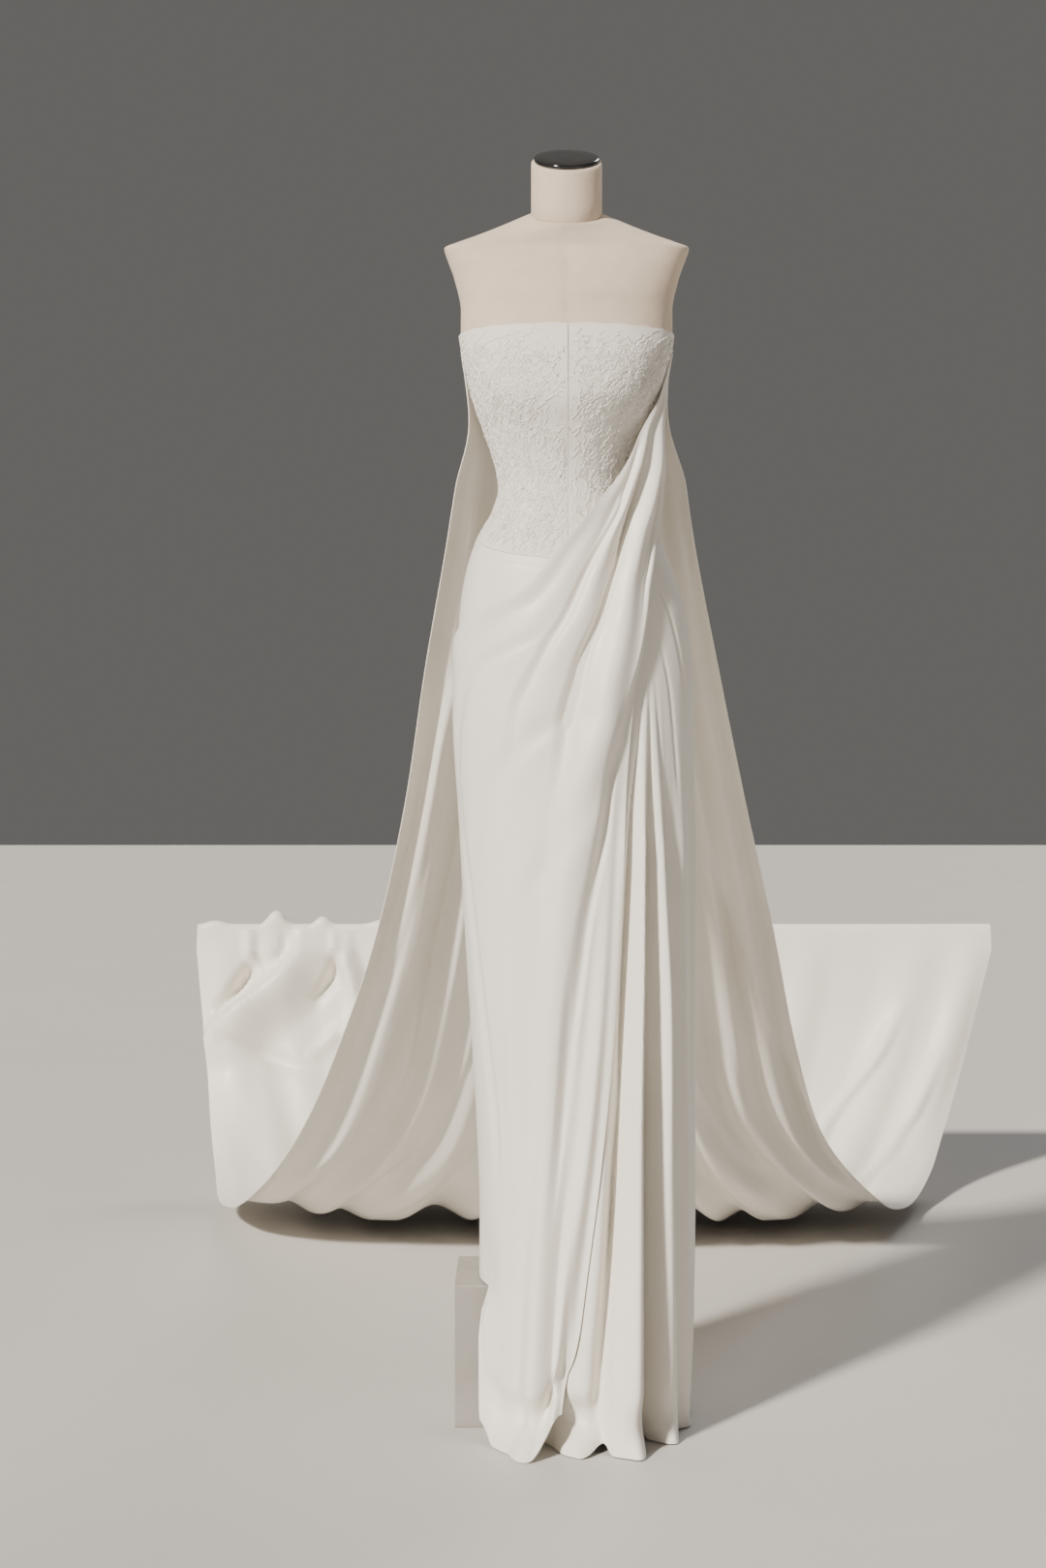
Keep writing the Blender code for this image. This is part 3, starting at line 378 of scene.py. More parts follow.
def smooth_rows(rows, at):
    """The rows at values of their first column, on a smooth curve that never overshoots."""
    rows = np.array(rows, float)
    keys, values = rows[:, 0], rows[:, 1:]
    steep = np.diff(values, axis=0) / np.diff(keys)[:, None]
    slopes = np.zeros_like(values)
    slopes[-1] = steep[-1]
    before, after = steep[:-1], steep[1:]
    same_way = before * after > 0.0
    total = np.where(same_way, before + after, 1.0)
    slopes[1:-1] = np.where(same_way, 2.0 * before * after / total, 0.0)
    at = np.clip(at, keys[0], keys[-1])
    low = np.clip(np.searchsorted(keys, at, side="right") - 1, 0, len(keys) - 2)
    span = (keys[low + 1] - keys[low])[..., None]
    part = (at - keys[low])[..., None] / span
    return (
        (2 * part ** 3 - 3 * part ** 2 + 1) * values[low]
        + (part ** 3 - 2 * part ** 2 + part) * slopes[low] * span
        + (3 * part ** 2 - 2 * part ** 3) * values[low + 1]
        + (part ** 3 - part ** 2) * slopes[low + 1] * span)


def read_rows(rows, at):
    """A table's columns by name, at values of its first column."""
    found = smooth_rows([list(row.values()) for row in rows], at)
    return {name: found[..., index] for index, name in enumerate(list(rows[0])[1:])}


def between(first, last, part):
    return first + (last - first) * part


def ease(part):
    part = np.clip(part, 0.0, 1.0)
    return part * part * (3.0 - 2.0 * part)


def bump(distance, width):
    """A soft ridge: 1 on its crest and 0 from its width on."""
    width = np.maximum(width, 1e-9)
    return np.where(np.abs(distance) < width, 0.5 + 0.5 * np.cos(np.pi * distance / width), 0.0)


def lopsided(distance, before, after):
    """A ridge that is wider on one side than on the other."""
    return np.where(distance < 0.0, bump(distance, before), bump(distance, after))


def peaked(distance, before, after):
    """A ridge with a sharp crest and full flanks."""
    width = np.where(distance < 0.0, before, after)
    return np.clip(1.0 - np.abs(distance) / width, 0.0, 1.0) ** 0.8


def wrapped(angle):
    return (angle + 180.0) % 360.0 - 180.0


def steps(start, end, count):
    return np.linspace(start, end, count + 1)


def runs_of(*runs):
    """Even steps over several (start, end, count)."""
    return np.concatenate([steps(*run) for run in runs])


def uneven(u, v, seed, waves, slowest, fastest):
    """A smooth random relief between about -1 and 1."""
    draw = np.random.default_rng(seed)
    total = np.zeros(np.broadcast(u, v).shape)
    for _ in range(waves):
        turn, phase = draw.uniform(0.0, 2.0 * np.pi, 2)
        pace = draw.uniform(slowest, fastest) * 2.0 * np.pi
        total += np.sin(pace * (u * np.cos(turn) + v * np.sin(turn)) + phase)
    return total / waves


def full_turn(count):
    """Even angles all round, in radians."""
    return 2.0 * np.pi * np.arange(count) / count


def xyz(x, y, z):
    return np.stack(np.broadcast_arrays(x, y, z), axis=-1)


def unit(vectors):
    return vectors / np.maximum(np.linalg.norm(vectors, axis=-1, keepdims=True), 1e-12)


def line_relief(along, place, lines):
    """Ridges and creases along lines, which swell from nothing and fade again."""
    total = np.zeros(np.broadcast(along, place).shape)
    for height, before, after, *rows in lines:
        first, last = rows[0][0], rows[-1][0]
        fade = LINE_FADE * (last - first)
        middle = smooth_rows(rows, along)[..., 0]
        alive = ease((along - first) / fade) * ease((last - along) / fade)
        total += height * alive * lopsided(place - middle, before, after)
    return total


def line_distance(x, z, corners):
    """Signed distance to a broken line, and how far along it the nearest point is, from 0 to 1."""
    sides = np.diff(np.array(corners), axis=0)
    lengths = np.hypot(*sides.T)
    best, signed, along = np.full(x.shape, 1e9), 0.0, 0.0
    for index, (corner, (way_x, way_z)) in enumerate(zip(corners, sides / lengths[:, None])):
        from_x, from_z = x - corner[0], z - corner[1]
        part = np.clip(from_x * way_x + from_z * way_z, 0.0, lengths[index])
        off_x, off_z = from_x - part * way_x, from_z - part * way_z
        distance = np.hypot(off_x, off_z)
        nearer = distance < best
        best = np.where(nearer, distance, best)
        side = np.where(way_x * off_z - way_z * off_x < 0.0, 1.0, -1.0)
        signed = np.where(nearer, side * distance, signed)
        along = np.where(nearer, (lengths[:index].sum() + part) / lengths.sum(), along)
    return signed, along


def crumple_relief(x, z):
    """Ridges of the crumpled cloth in front of the rail."""
    total = 0.0
    for height, above, below, *corners in CRUMPLES:
        signed, along = line_distance(x, z, corners)
        alive = 0.25 + 0.75 * bump(along - 0.5, 0.75)
        total += CRUMPLE_SWELL * height * alive * lopsided(signed, above, below)
    return total


def ring_points(sizes, angle, out):
    """Points of rings in plan, moved out along each ring's own normal."""
    side, ahead = np.sin(np.radians(angle)), np.cos(np.radians(angle))
    half_width = np.where(side >= 0.0, sizes["right"], sizes["left"])
    depth = np.where(ahead >= 0.0, sizes["front"], sizes["back"])
    power = 2.0 / sizes["corner"]
    x = np.sign(side) * np.abs(side) ** power
    y = -np.sign(ahead) * np.abs(ahead) ** power
    normal_x = np.sign(side) * np.abs(side) ** (2.0 - power) / half_width
    normal_y = -np.sign(ahead) * np.abs(ahead) ** (2.0 - power) / depth
    length = np.hypot(normal_x, normal_y)
    return x * half_width + out * normal_x / length, y * depth + out * normal_y / length


def figure_points(angle, z, out=0.0):
    """The gown's plain outside, with the two soft cups of the bodice."""
    cup = bump(np.abs(wrapped(angle)) - CUP_ANGLE, CUP_SIDE_REACH) * bump(z - CUP_Z, CUP_UP_REACH)
    x, y = ring_points(read_rows(FIGURE, z), angle, out + CUP_HEIGHT * cup)
    return xyz(x, y, z)


def hem_heights(rings, angle, margin):
    """The hem comes down from the box to the floor along a soft curve."""
    x, y = ring_points(read_rows(rings, np.full(np.shape(angle), HEM_PLAN_Z)), angle, 0.0)
    clear = np.maximum(
        np.maximum(BOX_RIGHT_X - margin - x, x - BOX_LEFT_X - margin),
        np.maximum(BOX_FRONT - margin - y, y - BOX_BACK - margin))
    return between(HEM_OVER_BOX, FLOOR_CLEAR, ease(clear / HEM_TURN) ** 0.6)


def above_hem(z, hem):
    return z + hem * np.maximum(0.0, 1.0 - z / HEM_SHIFT_TOP)


def hem_curl(above):
    """How far the curled hem stands out: it turns outward at the hem and leans in just above."""
    turned = np.clip(1.0 - above / LIP_HEIGHT, 0.0, 1.0) ** 1.4
    return LIP_OUT * turned - LIP_DIP * bump(above - LIP_DIP_AT, LIP_DIP_REACH)


def skirt_out(angle, z):
    """How far the cone folds stand out of the skirt's plain ring."""
    drop = np.clip((SKIRT_FOLD_TOP - z) / SKIRT_FOLD_TOP, 0.0, 1.0)
    begun = np.minimum(1.0, SKIRT_FOLD_START * ease(drop))
    turned, swell = drop ** SKIRT_FOLD_TURN, drop ** SKIRT_FOLD_SWELL
    out = 0.0
    for fold in SKIRT_FOLDS:
        middle = between(fold["hip_angle"], fold["hem_angle"], turned)
        width = between(fold["hip_width"], fold["hem_width"], swell)
        height = between(fold["hip_height"], fold["hem_height"], swell)
        out += height * begun * bump(wrapped(angle - middle), width)
    return out


def drape_points(across, drop):
    """The drape's outside, between its two long edges."""
    edge = read_rows(DRAPE_EDGES, drop)
    reach = edge["free_angle"] - edge["outer_angle"]
    angle = edge["outer_angle"] + reach * across
    hem = hem_heights(DRAPE, angle, DRAPE_BOX_MARGIN)
    z = above_hem(between(edge["outer_z"], edge["free_z"], across), hem)
    curled = ease((drop - CORNER_DROP) / (1.0 - CORNER_DROP))
    middle, before, after = SIDE_LIFT_ACROSS
    lifted = CORNER_LIFT * bump(1.0 - across, CORNER_REACH)
    lifted += SIDE_LIFT * lopsided(across - middle, before, after) * (1.0 - hem / HEM_OVER_BOX)
    z += curled * lifted
    hem += lifted
    crease = (edge["crease_angle"] - edge["outer_angle"]) / reach
    moved = np.clip((drop - DRAPE_FOLD_TOP) / (DRAPE_FOLD_LOW - DRAPE_FOLD_TOP), 0.0, 1.0)
    out = 0.0
    for fold in DRAPE_FOLDS:
        rising = ease((drop - fold["start"]) / (fold["peak"] - fold["start"]))
        fading = ease((fold["end"] - drop) / (fold["end"] - fold["peak"]))
        along = np.where(drop < fold["peak"], rising, fading)
        middle = between(fold["top_across"], fold["low_across"], moved)
        width = between(fold["top_width"], fold["low_width"], moved)
        out += fold["height"] * along * bump(across - middle * crease, width)
    out += line_relief(drop, across, DRAPE_LINES)
    middle, before, after = LIP_ACROSS
    out += hem_curl(z - hem) * peaked(across - middle, before, after) * (1.0 - hem / HEM_OVER_BOX)
    middle, before, after = SIDE_FLARE_ACROSS
    beside = ease((HEM_OVER_BOX + 0.008 - z) / 0.06) - 0.3 * bump(z - HEM_OVER_BOX - 0.03, 0.09)
    out += SIDE_FLARE * beside * lopsided(across - middle, before, after)
    grown = ease((drop - DRAPE_SEWN_DROP) / FREE_FOLD_GROWTH)
    out += FREE_FOLD_HEIGHT * grown * bump(across - (crease + 1.0) / 2.0, (1.0 - crease) / 2.0)
    x, y = ring_points(read_rows(DRAPE, z), angle, out)
    sewn = figure_points(angle, z, DRAPE_WALL + DRAPE_CLEAR)
    hold = bump(across, DRAPE_SEWN_WIDTH) * ease((drop - DRAPE_SEWN_DROP) / DRAPE_SEWN_BLEND)
    hold = np.maximum(hold, 1.0 - ease(drop / GATHER_DROP))[..., None]
    tucked = figure_points(angle, z, skirt_out(angle, z) + DRAPE_WALL + FREE_TUCK_CLEAR)
    tuck = bump(1.0 - across, FREE_TUCK) * ease((drop - DRAPE_FOLD_LOW) / FREE_TUCK_BLEND)
    tuck = FREE_TUCK_SHARE * (tuck * (1.0 - 0.8 * ease((drop - 0.93) / 0.07)))[..., None]
    return between(between(xyz(x, y, z), sewn, hold), tucked, tuck)


def train_points(across, run, folds, is_left):
    """One train panel: across runs from the panel's outer edge to the back seam."""
    row = read_rows(TRAIN, run)
    seam_x = between(TRAIN_SEAM, TRAIN_SEAM_END, ease(run))
    edge_x = row["right"] if is_left else row["left"]
    bow = (1.0 - across) ** 2
    free = xyz(
        between(edge_x, seam_x, across), row["y"] - row["forward"] * bow, row["z"] + row["lift"] * bow)
    edge_angle = TRAIN_EDGE_ANGLE if is_left else 360.0 - TRAIN_EDGE_ANGLE
    angle = between(edge_angle, 180.0, across)
    sewn = figure_points(angle, row["z"], TRAIN_CLEAR + run * TRAIN_LEAN)
    points = between(sewn, free, ease(run / TRAIN_SEWN_RUN)[..., None])
    ahead, behind = read_rows(TRAIN, run + 0.01), read_rows(TRAIN, run - 0.01)
    into_hollow = unit(xyz(0.0, behind["z"] - ahead["z"], ahead["y"] - behind["y"]))
    floor_share = ease((run - TRAIN_FLOOR_RUN) / TRAIN_FLOOR_REACH)
    rise_share = ease((run - TRAIN_RISE_RUN) / TRAIN_RISE_REACH)
    stand = 0.0
    for fold in folds:
        grown = ease((run - fold["start"]) / TRAIN_FOLD_BLEND)
        middle = fold["across"] - fold["drift"] * (floor_share + 0.5 * rise_share)
        stand += fold["height"] * grown * bump(across - middle, fold["reach"])
    lines = TRAIN_LINES_LEFT if is_left else TRAIN_LINES_RIGHT
    fine = line_relief(run, points[..., 0], lines) * ease((1.0 - across) / 0.06)
    if not is_left:
        rising = ease((run - 0.86) / 0.05) * ease((points[..., 2] - CRUMPLE_LOW) / 0.12)
        fine += crumple_relief(points[..., 0], points[..., 2]) * rising
    return points + into_hollow * (row["fold"] * stand + fine)[..., None]


def grid_normals(grid):
    """Unit normals of a grid: the step to the next column crossed with the step to the next row."""
    return unit(np.cross(np.gradient(grid, axis=1), np.gradient(grid, axis=0)))


def quads_of(rows, columns, start=0, close=False):
    """Index quads of a grid of points. close joins the last column to the first."""
    index = start + np.arange(rows * columns).reshape(rows, columns)
    right = np.roll(index, -1, axis=1) if close else index[:, 1:]
    left = index if close else index[:, :-1]
    quads = np.stack([left[:-1], left[1:], right[1:], right[:-1]], axis=-1)
    return quads.reshape(-1, 4)


def placed(name, data, turn=(0.0, 0.0, 0.0), place=(0.0, 0.0, 0.0)):
    """A mesh, light or camera in the scene; turn is in degrees."""
    item = bpy.data.objects.new(name, data)
    item.rotation_euler = np.radians(turn)
    item.location = place
    bpy.context.scene.collection.objects.link(item)
    return item


def add_piece(name, points, faces, finish, node=None, uvs=None, sharp=50.0):
    """A mesh that rides on the part's body, replaces a node and takes the material of the finish it is
    given.
    """
    mesh = bpy.data.meshes.new(name)
    faces = faces if isinstance(faces, list) else faces.tolist()
    mesh.from_pydata(points.reshape(-1, 3).tolist(), [], faces)
    mesh.materials.append(finish.material)
    mesh.shade_smooth()
    mesh.set_sharp_from_angle(angle=math.radians(sharp))
    if uvs is not None:
        layer = mesh.uv_layers.new(name="cloth")
        corners = np.zeros(len(mesh.loops), np.int32)
        mesh.loops.foreach_get("vertex_index", corners)
        layer.data.foreach_set("uv", uvs.reshape(-1, 2)[corners].ravel())
    item = placed(name, mesh)
    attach(item, BODY)
    if node:
        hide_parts(node)
    return item


def flat_map(grid):
    """Lengths along a grid's rows and columns, in metres, for weaves that follow the cloth."""
    across = np.linalg.norm(np.diff(grid, axis=1, prepend=grid[:, :1]), axis=-1).cumsum(axis=1)
    along = np.linalg.norm(np.diff(grid, axis=0, prepend=grid[:1]), axis=-1).cumsum(axis=0)
    middle = grid.shape[1] // 2
    return np.stack([across - across[:, middle:middle + 1], along], axis=-1)


def cloth_wall(name, outside, thickness, finish, node):
    """A closed wall: a grid, the same grid moved along its normals, and its four rims."""
    rows, columns = outside.shape[:2]
    inside = outside + grid_normals(outside) * thickness
    outer = np.arange(rows * columns).reshape(rows, columns)
    inner = outer + rows * columns
    faces = np.concatenate([
        quads_of(rows, columns), quads_of(rows, columns, rows * columns)[:, ::-1],
        np.stack([outer[:-1, 0], inner[:-1, 0], inner[1:, 0], outer[1:, 0]], axis=-1),
        np.stack([outer[:-1, -1], outer[1:, -1], inner[1:, -1], inner[:-1, -1]], axis=-1),
        np.stack([outer[0, :-1], outer[0, 1:], inner[0, 1:], inner[0, :-1]], axis=-1),
        np.stack([outer[-1, :-1], inner[-1, :-1], inner[-1, 1:], outer[-1, 1:]], axis=-1)])
    if thickness < 0.0:
        faces = faces[:, ::-1]
    uvs = np.concatenate([flat_map(outside)] * 2)
    return add_piece(name, np.concatenate([outside, inside]), faces, finish, node, uvs)


# Materials
class Finish:
    """A material and the record's slot that it goes with.

    tint is (noise scale, detail, low, high, one colour, other colour); gloss has two roughnesses.
    """

    def __init__(self, name, slot, colour, roughness, specular, tint=None, gloss=None, **sockets):
        self.slot = slot
        self.material = bpy.data.materials.new(name)
        self.material.use_nodes = True
        self.material.diffuse_color = (*colour, 1.0)
        self.tree = self.material.node_tree
        self.inputs = self.tree.nodes["Principled BSDF"].inputs
        sockets.update(Base_Color=(*colour, 1.0), Roughness=roughness, Specular_IOR_Level=specular)
        for socket, value in sockets.items():
            self.inputs[socket.replace("_", " ")].default_value = value
        if tint:
            self.tint(self.ramp(self.noise(*tint[:2]), *tint[2:4], 0.0, 1.0), *tint[4:])
        if gloss:
            self.join(self.ramp(self.noise(*gloss[:2]), *gloss[2:]), self.inputs["Roughness"])

    def add(self, kind, **values):
        node = self.tree.nodes.new(kind)
        for key, value in values.items():
            socket = key.replace("_", " ")
            if socket in node.inputs:
                node.inputs[socket].default_value = value
            else:
                setattr(node, key, value)
        return node

    def join(self, source, target):
        self.tree.links.new(source, target)

    def place(self, kind="Object"):
        """The coordinates: Object is metres in the frame, UV is metres along the cloth."""
        return self.add("ShaderNodeTexCoord").outputs[kind]

    def noise(self, scale, detail, kind="Object", stretch=(1.0, 1.0, 1.0)):
        mapping = self.add("ShaderNodeMapping", Scale=stretch)
        self.join(self.place(kind), mapping.inputs["Vector"])
        texture = self.add("ShaderNodeTexNoise", Scale=scale, Detail=detail)
        self.join(mapping.outputs["Vector"], texture.inputs["Vector"])
        return texture.outputs["Fac"]

    def ramp(self, source, low, high, start, end):
        """Maps a grey value from low..high to start..end."""
        node = self.add("ShaderNodeMapRange", From_Min=low, From_Max=high, To_Min=start, To_Max=end)
        self.join(source, node.inputs["Value"])
        return node.outputs["Result"]

    def tint(self, factor, first, second):
        node = self.add("ShaderNodeMix", data_type="RGBA")
        node.inputs[6].default_value = (*first, 1.0)
        node.inputs[7].default_value = (*second, 1.0)
        self.join(factor, node.inputs[0])
        self.join(node.outputs[2], self.inputs["Base Color"])

    def relief(self, height, strength, distance, below=None):
        node = self.add("ShaderNodeBump", Strength=strength, Distance=distance)
        self.join(height, node.inputs["Height"])
        if below is not None:
            self.join(below, node.inputs["Normal"])
        self.join(node.outputs["Normal"], self.inputs["Normal"])
        return node.outputs["Normal"]

    def threads(self, per_metre, direction):
        """Straight threads along the cloth's own map."""
        wave = self.add(
            "ShaderNodeTexWave", wave_type="BANDS", bands_direction=direction,
            Scale=per_metre * math.pi / BANDS_PER_SCALE, Distortion=0.6, Detail=1.0, Detail_Scale=2.0)
        self.join(self.place("UV"), wave.inputs["Vector"])
        return wave.outputs["Fac"]

    def sum_of(self, first, second):
        node = self.add("ShaderNodeMath", operation="ADD")
        self.join(first, node.inputs[0])
        self.join(second, node.inputs[1])
        return node.outputs[0]


crepe = Finish(
    "ivory_satin_crepe", "crepe", (0.86, 0.83, 0.775), 0.4, 0.42,
    (7.0, 3.0, 0.3, 0.7, (0.905, 0.862, 0.785), (0.875, 0.828, 0.745)),
    (60.0, 2.0, 0.3, 0.7, 0.36, 0.46), Sheen_Weight=0.22, Sheen_Roughness=0.45)
grain = crepe.relief(crepe.noise(1500.0, 2.0), 0.1, 0.0004)
crepe.relief(crepe.threads(1400.0, "X"), 0.05, 0.0002, grain)

lace = Finish(
    "ivory_lace_ground", "lace", (0.87, 0.845, 0.8), 0.62, 0.3,
    (14.0, 3.0, 0.3, 0.7, (0.94, 0.895, 0.82), (0.91, 0.86, 0.78)),
    Sheen_Weight=0.3, Sheen_Roughness=0.5)
net = lace.add("ShaderNodeTexVoronoi", feature="DISTANCE_TO_EDGE", Scale=620.0)
lace.join(lace.place("UV"), net.inputs["Vector"])
ground = lace.relief(lace.ramp(net.outputs["Distance"], 0.0, 0.25, 1.0, 0.0), 0.6, 0.0006)
lace.relief(lace.noise(220.0, 3.0), 0.35, 0.0007, ground)

cord = Finish(
    "ivory_lace_cord", "lace", (0.9, 0.875, 0.83), 0.5, 0.4,
    (120.0, 2.0, 0.3, 0.7, (0.925, 0.887, 0.825), (0.885, 0.842, 0.775)),
    Sheen_Weight=0.25, Sheen_Roughness=0.5)
cord.relief(cord.noise(2600.0, 1.0, stretch=(1.0, 1.0, 0.35)), 0.4, 0.0003)

pearl = Finish(
    "pearly_bead", "lace", (0.78, 0.74, 0.67), 0.18, 0.6,
    (160.0, 1.0, 0.35, 0.65, (0.83, 0.79, 0.72), (0.62, 0.58, 0.51)),
    (500.0, 1.0, 0.3, 0.7, 0.12, 0.26), Coat_Weight=0.6, Coat_Roughness=0.08)

linen = Finish(
    "ecru_linen_cover", "linen", (0.63, 0.53, 0.43), 0.85, 0.25, Sheen_Weight=0.15, Sheen_Roughness=0.6)
cloth = linen.sum_of(linen.threads(950.0, "X"), linen.threads(900.0, "Y"))
slub = linen.noise(230.0, 4.0, "UV", (0.25, 2.0, 1.0))
mottle = linen.ramp(linen.noise(30.0, 4.0), 0.3, 0.7, 0.0, 0.6)
mottle = linen.sum_of(mottle, linen.ramp(slub, 0.35, 0.7, 0.0, 0.4))
linen.tint(mottle, (0.74, 0.605, 0.475), (0.655, 0.53, 0.41))
linen.relief(slub, 0.2, 0.0005, linen.relief(cloth, 0.35, 0.0004))

lacquer = Finish(
    "black_lacquered_cap", "cap", (0.012, 0.011, 0.011), 0.12, 0.5,
    (45.0, 3.0, 0.35, 0.7, (0.01, 0.009, 0.009), (0.022, 0.02, 0.019)),
    (220.0, 4.0, 0.4, 0.75, 0.1, 0.24), Coat_Weight=0.8, Coat_Roughness=0.05)

steel = Finish(
    "black_painted_steel", "steel", (0.05, 0.05, 0.05), 0.42, 0.5,
    (40.0, 3.0, 0.35, 0.7, (0.045, 0.045, 0.047), (0.075, 0.073, 0.07)),
    (320.0, 3.0, 0.3, 0.75, 0.36, 0.56))
steel.relief(steel.noise(900.0, 2.0), 0.12, 0.0003)

painted = Finish(
    "painted_board", None, (0.38, 0.355, 0.32), 0.62, 0.4,
    (9.0, 5.0, 0.3, 0.75, (0.4, 0.375, 0.34), (0.31, 0.29, 0.26)),
    (80.0, 3.0, 0.3, 0.7, 0.52, 0.72))
painted.relief(painted.noise(260.0, 4.0, stretch=(1.0, 1.0, 0.3)), 0.18, 0.0006)


# Bodice
def waist_heights(angle):
    return smooth_rows(WAIST_SEAM, wrapped(angle))[..., 0]


def bodice_surface(angle, z):
    """The bodice's outside, a little uneven as lace over a corset is."""
    ripple = 0.00035 * uneven(angle / 60.0, z * 9.0, 11, 6, 1.0, 3.0)
    return figure_points(angle, z, ripple)


def bodice_panel(side, start, end, count, flat, area):
    angle, part = np.meshgrid(steps(start + SEAM_TURN, end - SEAM_TURN, count), steps(1.0, 0.0, count))
    low = waist_heights(angle) + WAIST_SEAM_GAP / 2.0
    z = between(low, NECKLINE_Z, part)
    scallop = np.abs(np.sin(np.radians(angle * 11.0))) * SCALLOP_HEIGHT
    scallop += 0.0007 * uneven(angle / 9.0, 0.0, 5, 5, 0.6, 2.4)
    grid = bodice_surface(angle, z + scallop * ease((part - 0.965) / 0.035))
    item = cloth_wall("gown_lace_" + side, grid, BODICE_WALL, lace, "bodice_" + side)


def surface_frame(angle, z):
    """Points of the bodice and their outward normals."""
    reach = 0.0006
    turn = math.degrees(reach / BODICE_RADIUS)
    side = bodice_surface(angle + turn, z) - bodice_surface(angle - turn, z)
    up = bodice_surface(angle, z + reach) - bodice_surface(angle, z - reach)
    return bodice_surface(angle, z), unit(np.cross(side, up))


def tubes(centres, normals, radius, closed):
    """Joined tubes along many paths at once. centres is (tubes, points, 3)."""
    if closed:
        ahead = np.roll(centres, -1, axis=1) - np.roll(centres, 1, axis=1)
    else:
        ahead = np.gradient(centres, axis=1)
    across = unit(np.cross(unit(ahead), normals))[:, :, None]
    turn = full_turn(CORD_SIDES)[:, None]
    ring = normals[:, :, None] * np.cos(turn) + across * np.sin(turn)
    points = centres[:, :, None] + ring * radius[:, :, None, None]
    index = np.arange(points.size // 3).reshape(points.shape[:3])
    near = index if closed else index[:, :-1]
    far = np.roll(index, -1, axis=1) if closed else index[:, 1:]
    quads = np.stack([near, far, np.roll(far, -1, axis=2), np.roll(near, -1, axis=2)], axis=-1)
    return points.reshape(-1, 3), quads.reshape(-1, 4)


def lace_paths(draw, start, end, count, points=26):
    """Curly thin cords, mostly upright, in angle and height."""
    top = NECKLINE_Z - LACE_TOP_DROP
    one_each = (count, 1)
    angle = draw.uniform(start + 1.0, end - 1.0, one_each)
    z = draw.uniform(LACE_LOW_Z, top - 0.012, one_each)
    length = draw.uniform(0.022, 0.06, one_each)
    lean = draw.normal(0.0, 0.55, one_each)
    wave = draw.uniform(0.0016, 0.004, one_each)
    pitch = draw.uniform(0.009, 0.017, one_each)
    phase = draw.uniform(0.0, 2.0 * np.pi, one_each)
    bend = draw.normal(0.0, 0.5, one_each)
    along = np.linspace(0.0, 1.0, points) * length
    turn = 2.0 * np.pi * along / pitch + phase
    side = np.sin(lean) * along + bend * along ** 2 / length + wave * np.sin(turn)
    z = z + np.cos(lean) * along + 0.5 * wave * np.sin(2.0 * turn)
    angle = angle + np.degrees(side / LACE_RADIUS)
    inside = (angle > start + LACE_MARGIN) & (angle < end - LACE_MARGIN)
    inside &= (z < top) & (z > waist_heights(angle) + 0.004)
    keep = inside.sum(axis=1) >= points - 2
    return angle[keep], z[keep]


def rosettes(draw, start, end, count, points=18):
    """Small generic florets, each one wavy loop."""
    one_each = (count, 1)
    angle = draw.uniform(start + 5.0, end - 5.0, one_each)
    z = draw.uniform(1.32, NECKLINE_Z - 0.022, one_each)
    radius = draw.uniform(0.0045, 0.0085, one_each)
    petals = draw.integers(4, 7, one_each)
    phase = draw.uniform(0.0, 2.0 * np.pi, one_each)
    turn = full_turn(points)
    reach = radius * (1.0 + FLORET_BEND * np.sin(petals * turn + phase))
    return angle + np.degrees(reach * np.cos(turn) / LACE_RADIUS), z + reach * np.sin(turn)


def lace_work(side, start, end, seed, cords, florets):
    """The raised cords and florets on one bodice panel, as one mesh."""
    draw = np.random.default_rng(seed)
    cord_paths = lace_paths(draw, start, end, cords)
    count, length = cord_paths[0].shape
    taper = 0.55 + 0.45 * np.sin(np.pi * np.linspace(0.02, 0.98, length))
    thin = draw.uniform(0.0006, 0.0009, (count, 1)) * taper
    outer = rosettes(draw, start, end, florets)
    inner = [0.5 * (ring.mean(axis=1, keepdims=True) + ring) for ring in outer]
    thick = np.full(outer[0].shape, 0.0009)
    points, faces = np.zeros((0, 3)), []
    for path, radius, lift, closed in (
            (cord_paths, thin, 0.00035, False), (outer, thick, 0.0004, True),
            (inner, 0.9 * thick, 0.0006, True)):
        centres, normals = surface_frame(*path)
        tube_points, tube_faces = tubes(centres + normals * lift, normals, radius, closed)
        faces.append(tube_faces + len(points))
        points = np.concatenate([points, tube_points])
    add_piece("lace_cords_" + side, points, np.concatenate(faces), cord, sharp=180.0)


def bead_work(seed, count):
    """Little round beads scattered over the whole bodice."""
    draw = np.random.default_rng(seed)
    angle = draw.uniform(-180.0, 180.0, count)
    z = waist_heights(angle) + 0.012 + draw.uniform(0.0, 1.0, count) ** 0.8 * 0.27
    keep = z < NECKLINE_Z - LACE_TOP_DROP
    centres, normals = surface_frame(angle[keep], z[keep])
    rings, sides = 5, 8
    tilt = np.linspace(0.0, np.pi, rings + 1)[1:-1, None]
    turn = full_turn(sides)
    belts = xyz(np.sin(tilt) * np.cos(turn), np.sin(tilt) * np.sin(turn), np.cos(tilt))
    ball = np.concatenate([[[0.0, 0.0, 1.0]], belts.reshape(-1, 3), [[0.0, 0.0, -1.0]]])
    last = len(ball) - 1
    ball_faces = quads_of(rings - 1, sides, 1, close=True).tolist()
    for j in range(sides):
        k = (j + 1) % sides
        ball_faces += [[0, 1 + j, 1 + k], [last, last - sides + k, last - sides + j]]
    radius = draw.uniform(0.0009, 0.0014, (len(centres), 1, 1))
    points = (centres + normals * 0.0009)[:, None] + ball * radius
    starts = range(0, len(centres) * len(ball), len(ball))
    faces = [[start + corner for corner in face] for start in starts for face in ball_faces]
    add_piece("lace_beads", points, faces, pearl, sharp=180.0)


